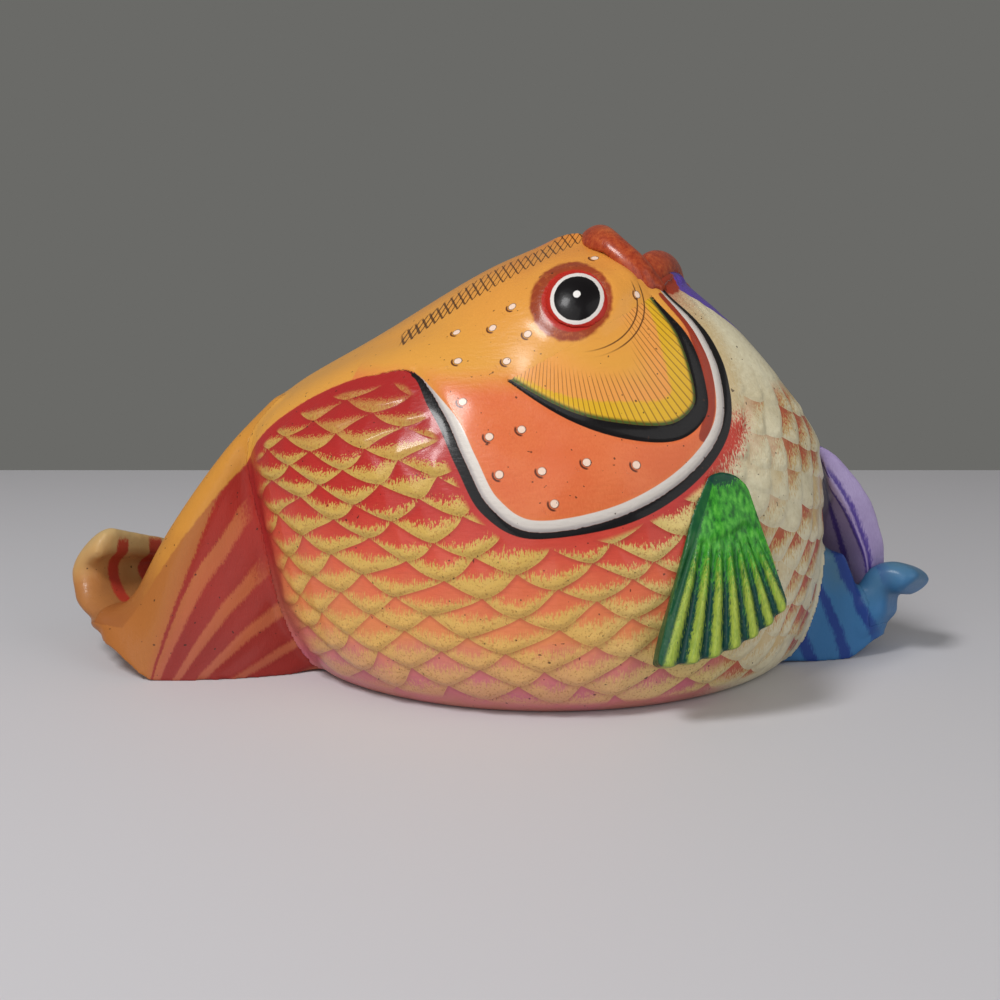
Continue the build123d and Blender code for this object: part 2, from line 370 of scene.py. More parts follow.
def belly_places(points):
    """Distance along the fish and out to the near side, on a middle line that turns with height."""
    share = smoothstep(TURN_START, TURN_END, points[:, 2])
    turn = np.radians(BELLY_TURN + (HEAD_TURN - BELLY_TURN) * share)
    along = points[:, 0] * np.cos(turn) + points[:, 1] * np.sin(turn)
    out = points[:, 0] * np.sin(turn) - points[:, 1] * np.cos(turn)
    return along, out


def smooth_run(points):
    """An even run of places on a smooth line through a few chosen ones."""
    points = np.array(points, dtype=float)
    padded = np.vstack([2 * points[0] - points[1], points, 2 * points[-1] - points[-2]])
    run = []
    for first, start, end, last in zip(padded, padded[1:], padded[2:], padded[3:]):
        count = max(2, int(np.linalg.norm((end - start)[:2]) / RUN_STEP))
        for share in np.arange(count) / count:
            pull = (end - first) * share
            bend = (2 * first - 5 * start + 4 * end - last) * share ** 2
            twist = (3 * start - first - 3 * end + last) * share ** 3
            run.append(start + 0.5 * (pull + bend + twist))
    run.append(points[-1])
    return np.array(run)


def skin_at(tree, reach, height, side):
    """The skin of one side at a place of the head: its point in millimetres and its normal."""
    start = Vector(head_point(reach, height, OUTSIDE * side) * MM)
    place, normal = tree.ray_cast(start, Vector(-HEAD_NEAR * side))[:2]
    if place is None:
        return None, None
    return np.array(place) / MM, np.array(normal)


def lift(tree, run, side):
    """Carry a run of head places out to the skin of one side. Returns points in millimetres."""
    lifted = [skin_at(tree, place[0], place[1], side)[0] for place in run]
    return np.array([NOWHERE if point is None else point for point in lifted])


def nearest(points, wanted, targets):
    """Distance to the nearest target and its number, for the wanted points; far off for the rest."""
    finder = KDTree(len(targets))
    for number, target in enumerate(targets):
        finder.insert(target, number)
    finder.balance()
    distance = np.full(len(points), FAR_OFF)
    number = np.zeros(len(points), dtype=int)
    for index in np.flatnonzero(wanted):
        _, number[index], distance[index] = finder.find(points[index])
    return distance, number


def inside(outline, across, up):
    """Whether places are inside a closed outline."""
    result = np.zeros(len(across), dtype=bool)
    for first, last in zip(outline, np.roll(outline, -1, axis=0)):
        crosses = (first[1] > up) != (last[1] > up)
        rise = last[1] - first[1]
        edge = first[0] + (up - first[1]) * (last[0] - first[0]) / (rise if rise else 1.0)
        result ^= crosses & (across < edge)
    return result


# Clay form

BODY_NODES = ["body_half_near", "body_half_far"]
TAIL_NODES = ["tail_fan_left", "tail_curl_left", "tail_fan_right", "tail_curl_right"]
LEFT_TAIL_START = -44.0
RIGHT_TAIL_START = 50.0

# Joints and curls, rubbed by hand: the least weight that counts, rounds of smoothing and their reach
LEAST_WEIGHT = 0.02
CREASE_ROUNDS = 100
CREASE_REACH = 7.0
CURL_ROUNDS = {"tail_curl_left": 60, "tail_curl_right": 18}
CURL_EDGE = (0.6, 4.0)
CURL_SWELL = 0.7

# Ends of the tail: where they start and how far they are lifted, filled or drawn
LEFT_END = 103.0
LEFT_END_LIFT = 8.0
RIGHT_END = 79.0
RIGHT_END_LIFT = 5.0
NECK_FILL = 2.2
NECK_WIDTH = 3.5
PETAL_DROP = 2.5
PETAL_SLANT = 0.14
PETAL_EDGE = 14.5
PETAL_ROUNDING = 3.5
PETAL_OUTWARD = 1.5
FOOT_HEIGHT = 13.0
FOOT_WIDTH = 9.0
FOOT_OUTWARD = 2.4


def clay_form():
    """Body and tail as one skin, with the vent plugged so that the inside stays closed."""
    bpy.ops.object.select_all(action="DESELECT")
    bpy.ops.mesh.primitive_cylinder_add(
        vertices=24, radius=VENT_RADIUS * MM, depth=2 * VENT_PLACE[2] * MM,
        location=Vector(VENT_PLACE) * MM)
    copies = [bpy.context.view_layer.objects.active]
    copies += [cad_copy(node, "clay_" + node) for node in ["belly_slab"] + TAIL_NODES + BODY_NODES]
    form = join("clay_form", copies)
    soften(form, GRAIN, 6)
    keep_outer_skin(form)
    return form


def keep_outer_skin(form):
    """Delete the skin of the closed hollow, which nothing shows."""
    points = points_of(form)
    pick(form)
    bpy.context.tool_settings.mesh_select_mode = (True, False, False)
    bpy.ops.object.mode_set(mode="EDIT")
    bpy.ops.mesh.select_all(action="DESELECT")
    bpy.ops.object.mode_set(mode="OBJECT")
    form.data.vertices[int(np.argmax(points[:, 2]))].select = True
    bpy.ops.object.mode_set(mode="EDIT")
    bpy.ops.mesh.select_linked()
    bpy.ops.mesh.select_all(action="INVERT")
    bpy.ops.mesh.delete(type="VERT")
    bpy.ops.object.mode_set(mode="OBJECT")


def gaps(points, wanted, tree):
    """Distance in millimetres from the wanted points to a mesh; far off for the rest."""
    distance = np.full(len(points), FAR_OFF)
    for index in np.flatnonzero(wanted):
        distance[index] = tree.find_nearest(Vector(points[index] * MM))[3] / MM
    return distance


def tail_gaps(form):
    """How far each point of the form is from the body and from each piece of the tail."""
    points = points_of(form)
    left = points[:, 0] < LEFT_TAIL_START
    right = points[:, 0] > RIGHT_TAIL_START
    halves = join("gap_body", [cad_copy(node, "gap_" + node) for node in BODY_NODES])
    found = {"body": gaps(points, left | right, tree_of(halves))}
    found["body"][~(left | right)] = 0.0
    bpy.data.objects.remove(halves)
    for node in TAIL_NODES:
        piece = cad_copy(node, "gap_" + node)
        found[node] = gaps(points, left if node.endswith("left") else right, tree_of(piece))
        bpy.data.objects.remove(piece)
    return found


def rub_creases(form, found):
    """Smooth the joints where the tail was luted on."""
    left = np.minimum(found["tail_fan_left"], found["tail_curl_left"])
    right = np.minimum(found["tail_fan_right"], found["tail_curl_right"])
    joints = [
        np.maximum(found["body"], np.minimum(left, right)),
        np.maximum(found["tail_fan_left"], found["tail_curl_left"]),
        np.maximum(found["tail_fan_right"], found["tail_curl_right"]),
    ]
    rub(form, "crease", fade(0.5, CREASE_REACH, np.minimum.reduce(joints)), CREASE_ROUNDS)


def round_tail(form, found):
    """Rub the curled ends round, swell them again and lift the ends of the fans off the table."""
    for node, rounds in CURL_ROUNDS.items():
        weight = fade(*CURL_EDGE, found[node])
        rub(form, node, weight, rounds)
        move_points(form, points_of(form) + normals_of(form) * (weight * CURL_SWELL)[:, None])
    points = points_of(form)
    joint = np.maximum(found["tail_fan_left"], found["tail_curl_left"])
    neck = bell(joint, 0.0, NECK_WIDTH) * smoothstep(0.0, 0.8, -normals_of(form)[:, 0])
    points[:, 0] -= NECK_FILL * neck
    low_left = smoothstep(0.0, 16.0, -LEFT_END - points[:, 0]) * fade(0.0, 22.0, points[:, 2])
    low_right = smoothstep(0.0, 10.0, points[:, 0] - RIGHT_END) * fade(0.0, 16.0, points[:, 2])
    width = petal_width(points)
    drop = PETAL_DROP + PETAL_SLANT * (width + PETAL_EDGE)
    drop += PETAL_ROUNDING * smoothstep(8.0, 15.5, np.abs(width))
    upper = fade(*CURL_EDGE, found["tail_curl_left"]) * smoothstep(14.0, 36.0, points[:, 2])
    points[:, 2] += LEFT_END_LIFT * low_left + RIGHT_END_LIFT * low_right - drop * upper
    foot = bell(points[:, 2], FOOT_HEIGHT, FOOT_WIDTH) * smoothstep(109.0, 118.0, -points[:, 0])
    points[:, 0] -= FOOT_OUTWARD * foot + PETAL_OUTWARD * upper
    move_points(form, points)


def petal_width(points):
    """Place across the strip of the left curl, about its middle."""
    return (points - LEFT_CURL_FOOT) @ LEFT_CURL_ACROSS


def scale_rows(points):
    """Row and column coordinates of the scales: rows count downwards, columns from the back."""
    along, out = belly_places(points)
    height = points[:, 2]
    girth = np.arctan2(np.abs(out) / BELLY_WIDTH, -along / BELLY_LENGTH)
    column = (girth / math.pi) ** SCALE_CROWDING * SCALE_COLUMNS
    length = girth * BELLY_RADIUS
    tilt = SCALE_TILT * (length - SCALE_TILT_START)
    tilt += SCALE_SWEEP * np.maximum(length - SCALE_SWEEP_START, 0.0) ** 2
    level = height - tilt
    row = -level / (SCALE_HEIGHT / 2)
    row -= SCALE_CLOSING * np.maximum(level - SCALE_CLOSING_START, 0.0) ** 2
    column += sum(size * np.sin(height / rise + turns * girth) for size, rise, turns in COLUMN_WAVES)
    row += sum(size * np.sin(height / rise + turns * column) for size, rise, turns in ROW_WAVES)
    return row, column


def scale_edge(column, number):
    """How far down the free edge of a row of scales is."""
    phase = column + 0.5 * (number % 2)
    return number + 1.0 - np.abs(2.0 * (phase - np.round(phase))) ** SCALE_ROUNDNESS


def scale_relief(row, column):
    """Height of the staggered, overlapping scales, from 0 to 1."""
    number = np.floor(row)
    owner = np.where(row <= scale_edge(column, number), number, number + 1.0)
    rise = (row - scale_edge(column, owner - 1.0)) / 2.0
    drop = scale_edge(column, owner) - row
    return np.clip(rise, 0.0, 1.0) ** 1.15 * smoothstep(-0.02, 0.3, drop)


def cheek_fields(points, tree):
    """Distances that lay out the paint of both cheeks."""
    reach, out = head_places(points)
    height = points[:, 2]
    border = smooth_run(BAND_EDGE + GILL_EDGE)
    face = inside(np.vstack([border, ABOVE_FACE]), reach, height)
    sign = np.where(face, 1.0, -1.0)
    gill_run = border[int(np.argmin(np.linalg.norm(border - GILL_EDGE[0], axis=1))):]
    fields = {name: np.full(len(points), -FAR_OFF) for name in ("cheek", "brown", "hollow")}
    fields.update({name: np.zeros(len(points)) for name in ("gill_run", "gill_left")})
    fields.update({name: sign * FAR_OFF for name in ("face", "gill")})
    cheek_run = smooth_run(CHEEK_LINE)
    brown_run = smooth_run(BROWN_LINE)
    pocket = inside(cheek_run[:, :2], reach, height)
    for side in (NEAR, FAR):
        wanted = (out * side > -SEAM_OVERLAP) & (height > FACE_BOTTOM)
        distance = nearest(points, wanted, lift(tree, border, side))[0]
        closer = distance < np.abs(fields["face"])
        fields["face"] = np.where(closer, sign * distance, fields["face"])
        wanted &= (height > GILL_BOTTOM) & (reach > GILL_BACK)
        distance, number = nearest(points, wanted, lift(tree, gill_run, side))
        closer = distance < np.abs(fields["gill"])
        fields["gill"] = np.where(closer, sign * distance, fields["gill"])
        fields["gill_run"] = np.where(closer, number * RUN_STEP, fields["gill_run"])
        left = (len(gill_run) - 1 - number) * RUN_STEP
        fields["gill_left"] = np.where(closer, left, fields["gill_left"])
        distance, number = nearest(points, wanted, lift(tree, brown_run, side))
        fields["brown"] = np.maximum(fields["brown"], brown_run[number, 2] - distance)
        distance, number = nearest(points, wanted, lift(tree, cheek_run, side))
        half_width = cheek_run[number, 2]
        fields["cheek"] = np.maximum(fields["cheek"], half_width - distance)
        outer = np.where(distance < HOLLOW_RIM, -distance, -FAR_OFF)
        depth = np.where(pocket, distance, outer) - half_width
        fields["hollow"] = np.where(wanted & (out * side > 0.0), depth, fields["hollow"])
    return fields


def mouth_shift(points):
    """How the mouth is pressed: up on the near side, down on the far side, back at the lower lip."""
    reach, out = head_places(points)
    close = smoothstep(90.0, 102.0, points[:, 2]) * smoothstep(-14.0, -4.0, reach)
    close *= fade(12.0, 22.0, reach)
    rise = close * (MOUTH_TILT * np.tanh(out / 6.0) - MOUTH_DROP)
    back = MOUTH_PULL * smoothstep(14.0, 22.0, reach) * smoothstep(88.0, 100.0, points[:, 2])
    return np.outer(rise, UP) - np.outer(back, HEAD_FORWARD)


def mouth_hollow(points):
    """1 in the middle of the open mouth and 0 under the lips."""
    reach, out = head_places(points)
    spread = ((reach - MOUTH_REACH) / MOUTH_LENGTH) ** 2 + (out / MOUTH_WIDTH) ** 2
    return fade(0.1, 1.0, spread) * smoothstep(94.0, 98.0, points[:, 2])


def eye_axis(side):
    """Direction that a painted eye looks in."""
    look = math.radians(EYE_LOOK)
    outward = turned(HEAD_TURN - (90.0 - EYE_FORWARD) * side)
    return outward * math.cos(look) + UP * math.sin(look)


def dot_places():
    """Head places of the raised dots: a loose staggered lattice."""
    places = []
    for row in range(DOT_ROWS):
        for count in range(DOT_COUNT):
            reach = DOT_START[0] + DOT_STEPS[0] * (count + (row % 2) / 2)
            height = DOT_START[1] + DOT_STEPS[1] * row
            reach += DOT_STRAY[0] * math.sin(7.0 * row + 3.0 * count)
            height += DOT_STRAY[1] * math.sin(5.0 * row + 11.0 * count)
            places.append((reach, height))
    return places


def dot_is_clear(fields, here, reach, height):
    """Whether a dot at a place of the head keeps clear of the painted lines."""
    clear = min(fields["face"][here], np.abs(fields["gill"][here])) > 5.0
    clear = clear and fields["cheek"][here] < -2.5 and fields["hollow"][here] < -1.0
    clear = clear and fields["brown"][here] < -4.0
    return clear and height < BELOW_STRIP + BELOW_STRIP_SLOPE * (reach + 40.0)


def dot_fields(points, tree, fields, seats):
    """Offset from the nearest raised dot, across and up in the skin's own plane."""
    offset = np.full((len(points), 3), FAR_OFF)
    best = np.full(len(points), DOT_REACH)
    for side in (NEAR, FAR):
        for reach, height in dot_places():
            place, normal = skin_at(tree, reach, height, side)
            if place is None or np.linalg.norm(place - seats[side][0]) <= EYE_CLEARANCE:
                continue
            distance = np.linalg.norm(points - place, axis=1)
            if not dot_is_clear(fields, int(np.argmin(distance)), reach, height):
                continue
            across = HEAD_FORWARD - normal * (normal @ HEAD_FORWARD)
            across /= np.linalg.norm(across)
            upward = np.cross(normal, across) * side
            upward *= np.sign(upward[2])
            close = distance < best
            local = points[close] - place
            offset[close, 0] = local @ across
            offset[close, 1] = local @ upward
            best[close] = distance[close]
    return offset


def shape_form(form):
    """Press scales, gill covers and cheeks into the clay and keep the fields that lay out the paint."""
    found = tail_gaps(form)
    rub_creases(form, found)
    round_tail(form, found)
    tree = tree_of(form)
    points = points_of(form)
    normals = normals_of(form)
    along, out = belly_places(points)
    height = points[:, 2]
    fields = cheek_fields(points, tree)
    seats = {side: skin_at(tree, EYE_REACH, EYE_HEIGHT, side) for side in (NEAR, FAR)}
    row, column = scale_rows(points)

    left = found["body"] - np.minimum(found["tail_fan_left"], found["tail_curl_left"])
    right = found["body"] - np.minimum(found["tail_fan_right"], found["tail_curl_right"])
    clear_tail = fade(-9.0, -1.0, left) * fade(-7.0, -1.0, right)
    clear_face = smoothstep(2.0, 7.0, -fields["face"])
    throat = smoothstep(30.0, 48.0, along)
    clear_throat = 1.0 - throat * smoothstep(66.0, 84.0, height)
    mask = clear_tail * clear_face * clear_throat * smoothstep(1.0, 7.0, height)
    relief = scale_relief(row, column) - SCALE_LEVEL
    lift_up = SCALE_RISE * mask * (1.0 - THROAT_FLATNESS * throat) * relief

    gill = fields["gill"]
    ridge = smoothstep(-0.4, 2.2, gill) * fade(6.0, 22.0, gill)
    lift_up += GILL_RISE * ridge
    lift_up -= GILL_DENT * bell(gill, -1.6, 1.4)
    lift_up -= CHEEK_GROOVE * smoothstep(-1.0, 1.2, fields["cheek"])
    for place, _ in seats.values():
        distance = np.linalg.norm(points - place, axis=1)
        lift_up += EYE_MOUND * bell(distance, EYE_MOUND_RADIUS, EYE_MOUND_WIDTH)
    lift_up += stripe_relief(points, left)
    wave = np.sin(points[:, 0] / 9.0 + 1.3) * np.sin(points[:, 1] / 11.0) * np.sin(height / 8.0 + 0.4)
    lift_up += SKIN_WAVE * wave
    lift_up *= smoothstep(0.3, 3.0, height)
    lift_up -= BACK_DIP * bell(points[:, 0], -40.0, 42.0) * smoothstep(2.0, 20.0, fields["face"])

    under = (height < 0.4) & (np.abs(normals[:, 2]) > 0.8)
    within = slab_within(points)
    moved = points + normals * lift_up[:, None]
    moved += mouth_shift(points)
    mouth = mouth_hollow(points)
    moved[:, 2] -= MOUTH_DEPTH * mouth
    moved[:, 2] += np.where(under & within, SLAB_GAP, 0.0)
    moved[:, 2] = np.maximum(moved[:, 2], 0.0)
    move_points(form, moved)
    finish_with(form, "SMOOTH", factor=0.5, iterations=2)

    fields.update(
        dot=dot_fields(points, tree, fields, seats), row=row, column=column, mask=mask, along=along, out=out,
        tail_left=left, mouth=mouth, petal=normals @ LEFT_CURL_INWARD, petal_width=petal_width(points))
    for name, values in fields.items():
        note(form, name, values)
    return found, seats, tree


def slab_within(points):
    """Whether points are over the slab under the belly."""
    low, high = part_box("belly_slab")
    centre = (Vector(low) + Vector(high)) / 2 / MM
    half = (Vector(high) - Vector(low)) / 2 / MM
    turn = math.radians(BELLY_TURN)
    x = points[:, 0] - centre.x
    y = points[:, 1] - centre.y
    across = np.abs(x * math.cos(turn) + y * math.sin(turn)) / half.x
    deep = np.abs(y * math.cos(turn) - x * math.sin(turn)) / half.y
    return across ** SLAB_ROUNDNESS + deep ** SLAB_ROUNDNESS < 1.0


def stripe_angle(points):
    """Angle of a place about the point that the left tail's stripes run to, in degrees from upright."""
    return np.degrees(np.arctan2(points[:, 0] - STRIPE_FOCUS[0], points[:, 2] - STRIPE_FOCUS[1]))


def stripe_relief(points, left):
    """Shallow flutes along the stripes of the left tail."""
    angle = stripe_angle(points)
    flutes = np.cos((angle - FLUTE_START) / FLUTE_STEP * 2.0 * math.pi)
    return FLUTE_DEPTH * flutes * smoothstep(0.0, 5.0, left) * smoothstep(10.0, 20.0, angle)


def cut_out(form, name, labels, wanted):
    """A closed piece of the form: the faces of one label, with the cut filled."""
    piece = copy_of(form.data, name)
    piece.data.name = name
    bpy.context.tool_settings.mesh_select_mode = (False, False, True)
    bpy.ops.object.mode_set(mode="EDIT")
    bpy.ops.mesh.select_all(action="DESELECT")
    bpy.ops.object.mode_set(mode="OBJECT")
    piece.data.polygons.foreach_set("select", ~np.isin(labels, wanted))
    bpy.ops.object.mode_set(mode="EDIT")
    bpy.ops.mesh.delete(type="FACE")
    bpy.ops.object.mode_set(mode="OBJECT")
    skin = len(piece.data.polygons)
    bpy.ops.object.mode_set(mode="EDIT")
    bpy.ops.mesh.select_all(action="SELECT")
    bpy.ops.mesh.fill_holes(sides=0)
    bpy.ops.object.mode_set(mode="OBJECT")
    for polygon in piece.data.polygons[skin:]:
        polygon.use_smooth = False
    return piece


def halve(piece, name, side):
    """The part of a piece on one side of the seam, with the cut filled."""
    half = copy_of(piece.data, name)
    half.data.name = name
    bpy.ops.object.mode_set(mode="EDIT")
    bpy.ops.mesh.select_all(action="SELECT")
    bpy.ops.mesh.bisect(
        plane_co=(0.0, 0.0, 0.0), plane_no=Vector(SEAM_NEAR * side), use_fill=True, clear_inner=True)
    bpy.ops.mesh.faces_shade_flat()
    bpy.ops.object.mode_set(mode="OBJECT")
    return half


def cut_form(form, found):
    """Cut the shaped form into the pieces that were luted together."""
    corners = np.empty(len(form.data.loops), dtype=np.int32)
    form.data.loops.foreach_get("vertex_index", corners)
    corners = corners.reshape(-1, 4)
    names = ["body"] + TAIL_NODES
    spans = np.stack([found[name][corners].mean(axis=1) for name in names])
    labels = np.argmin(spans, axis=0)
    pieces = {name: cut_out(form, name, labels, number) for number, name in enumerate(names)}
    body = pieces.pop("body")
    pieces["body_near"] = halve(body, "body_near", NEAR)
    pieces["body_far"] = halve(body, "body_far", FAR)
    bpy.data.objects.remove(body)
    bpy.data.objects.remove(form)
    return pieces


# Paint

class Value:
    """A number that varies over a surface, with arithmetic that adds Math nodes."""

    def __init__(self, finish, socket):
        self.finish = finish
        self.socket = socket

    def joined(self, operation, first, second=0.0):
        return self.finish.node("ShaderNodeMath", {"operation": operation}, {0: first, 1: second})

    def __add__(self, other):
        return self.joined("ADD", self, other)

    __radd__ = __add__

    def __sub__(self, other):
        return self.joined("SUBTRACT", self, other)

    def __rsub__(self, other):
        return self.joined("SUBTRACT", other, self)

    def __mul__(self, other):
        return self.joined("MULTIPLY", self, other)

    __rmul__ = __mul__

    def __truediv__(self, other):
        return self.joined("DIVIDE", self, other)

    def __abs__(self):
        return self.joined("ABSOLUTE", self)

    def fraction(self):
        return self.joined("FRACT", self)

    def most(self, other):
        return self.joined("MAXIMUM", self, other)

    def root(self):
        return self.joined("SQRT", self)

    def floor(self):
        return self.joined("FLOOR", self)

    def sine(self):
        return self.joined("SINE", self)

    def power(self, other):
        return self.joined("POWER", self, other)

    def exceeds(self, other):
        return self.joined("GREATER_THAN", self, other)


def rgb(red, green, blue):
    """A colour as it shows on screen, 0 to 255, made linear for the shader."""
    linear = []
    for part in (red, green, blue):
        share = part / 255.0
        linear.append(share / 12.92 if share <= 0.04045 else ((share + 0.055) / 1.055) ** 2.4)
    return (*linear, 1.0)


# Wax over the paint: roughness and coat of the painted clay, and of the drier tail
WAX_ROUGHNESS = 0.36
WAX_COAT = 0.35
WAX_COAT_ROUGHNESS = 0.15
DRY_ROUGHNESS = 0.42
DRY_COAT = 0.15
PAINT_GLOSS = 0.15
BRUSH_RELIEF = 0.16


class Finish:
    """A painted finish: a material whose nodes are added by expressions."""

    def __init__(self, name):
        self.material = bpy.data.materials.new(name)
        self.material.use_nodes = True
        self.tree = self.material.node_tree
        self.tree.nodes.clear()
        self.shader = self.tree.nodes.new("ShaderNodeBsdfPrincipled")
        output = self.tree.nodes.new("ShaderNodeOutputMaterial")
        self.tree.links.new(self.shader.outputs[0], output.inputs[0])
        self.place = self.node("ShaderNodeTexCoord", out="Object")

    def feed(self, socket, value):
        """Link a value to a socket or set it there."""
        if isinstance(value, Value):
            self.tree.links.new(value.socket, socket)
        else:
            socket.default_value = value

    def node(self, kind, settings=None, inputs=None, out=0):
        """Add a node, set it up and return one of its outputs."""
        node = self.tree.nodes.new(kind)
        for key, setting in (settings or {}).items():
            if key == "stops":
                self.fill_ramp(node.color_ramp, setting)
            else:
                setattr(node, key, setting)
        for key, value in (inputs or {}).items():
            self.feed(node.inputs[key], value)
        return Value(self, node.outputs[out])

    def fill_ramp(self, ramp, stops):
        """Give a colour ramp its stops."""
        while len(ramp.elements) < len(stops):
            ramp.elements.new(1.0)
        for element, (position, colour) in zip(ramp.elements, stops):
            element.position = position
            element.color = colour

    def parts(self, vector, scale=1.0):
        """The three parts of a vector, times a scale."""
        node = self.tree.nodes.new("ShaderNodeSeparateXYZ")
        self.feed(node.inputs[0], vector)
        values = [Value(self, output) for output in node.outputs]
        return values if scale == 1.0 else [value * scale for value in values]

    def kept(self, name):
        """A number kept on the mesh."""
        return self.node("ShaderNodeAttribute", {"attribute_name": name}, out="Fac")

    def kept_vector(self, name):
        """The parts of a vector kept on the mesh."""
        return self.parts(self.node("ShaderNodeAttribute", {"attribute_name": name}, out="Vector"))

    def step(self, low, high, value):
        """0 below low, 1 above high, and smooth between them."""
        return self.node(
            "ShaderNodeMapRange", {"interpolation_type": "SMOOTHSTEP"}, {0: value, 1: low, 2: high})

    def fade(self, low, high, value):
        """1 below low, 0 above high, and smooth between them."""
        return 1.0 - self.step(low, high, value)

    def mix(self, share, first, second):
        """First colour, turning into the second as share goes from 0 to 1."""
        return self.node("ShaderNodeMix", {"data_type": "RGBA"}, {0: share, 6: first, 7: second}, out=2)

    def ramp(self, value, stops):
        """A colour from a run of stops."""
        return self.node("ShaderNodeValToRGB", {"stops": stops}, {0: value})

    def noise(self, size, detail=2.0, stretch=(1.0, 1.0, 1.0)):
        """Even random mottling, about 0.5, of that size in millimetres."""
        scale = [share / (size * MM) for share in stretch]
        place = self.node("ShaderNodeMapping", {}, {"Vector": self.place, "Scale": scale})
        return self.node("ShaderNodeTexNoise", {}, {"Vector": place, "Scale": 1.0, "Detail": detail})

    def vector_maths(self, operation, *vectors, out=0):
        """One step of maths on vectors."""
        return self.node(
            "ShaderNodeVectorMath", {"operation": operation}, dict(enumerate(vectors)), out=out)

    def gap_from(self, place):
        """Distance in millimetres from a point given in millimetres."""
        gap = self.vector_maths("DISTANCE", self.place, [part * MM for part in place], out="Value")
        return gap * (1.0 / MM)

    def gap_from_axis(self, place, direction):
        """Distance in millimetres from a line through a point given in millimetres."""
        offset = self.vector_maths("SUBTRACT", self.place, [part * MM for part in place])
        crossed = self.vector_maths("CROSS_PRODUCT", offset, list(direction))
        return self.vector_maths("LENGTH", crossed, out="Value") * (1.0 / MM)

    def stripe(self, value, centre, half_width, softness):
        """1 on a stripe and 0 off it."""
        return self.fade(half_width - softness, half_width + softness, abs(value - centre))

    def brushwork(self):
        """Bristle marks, clouds and grain, each about 0."""
        self.hairs = self.noise(0.34, 2.0, (1.0, 1.0, 0.22)) - 0.5
        self.cloud = self.noise(13.0, 3.0) - 0.5
        self.grain = self.noise(1.6, 3.0) - 0.5
        return self.hairs, self.cloud, self.grain

    def specked(self, colour, pin_hole):
        """A colour with rare pin-holes in the paint."""
        return self.mix(self.step(0.325, 0.34, self.noise(0.9, 0.0) - 0.5) * 0.8, colour, pin_hole)

    def angle(self, across, up):
        """Angle from upright in degrees."""
        return across.joined("ARCTAN2", across, up) * (180.0 / math.pi)

    def wax(self, colour, roughness, height, coat=WAX_COAT, relief=BRUSH_RELIEF):
        """Feed the shader: colour, a soft waxed gloss and the height of the brushwork in millimetres."""
        bump = {"Strength": 1.0, "Distance": relief * MM, "Height": height}
        for name, value in (
                ("Base Color", colour), ("Roughness", roughness), ("Coat Weight", coat),
                ("Coat Roughness", WAX_COAT_ROUGHNESS), ("Specular IOR Level", PAINT_GLOSS),
                ("Normal", self.node("ShaderNodeBump", {}, bump, out="Normal"))):
            self.feed(self.shader.inputs[name], value)
        return self.material

    def brushed(self, colour, roughness=WAX_ROUGHNESS, coat=WAX_COAT, bristles=0.4):
        """Wax over brushed paint."""
        height = self.grain * 0.6 + self.hairs * bristles
        return self.wax(colour, roughness + self.grain * 0.14, height, coat)


BLACK = rgb(16, 13, 15)
WHITE = rgb(222, 214, 206)
CREAM = rgb(230, 221, 189)
EYE_RED = rgb(180, 40, 28)
EYE_VIOLET = rgb(110, 60, 160)
PIN_HOLE = rgb(52, 30, 22)


# Numbers kept on the body's mesh that several of its paints read
BODY_FIELDS = ("along", "face", "gill", "gill_run", "gill_left", "cheek", "hollow", "mask", "tail_left")


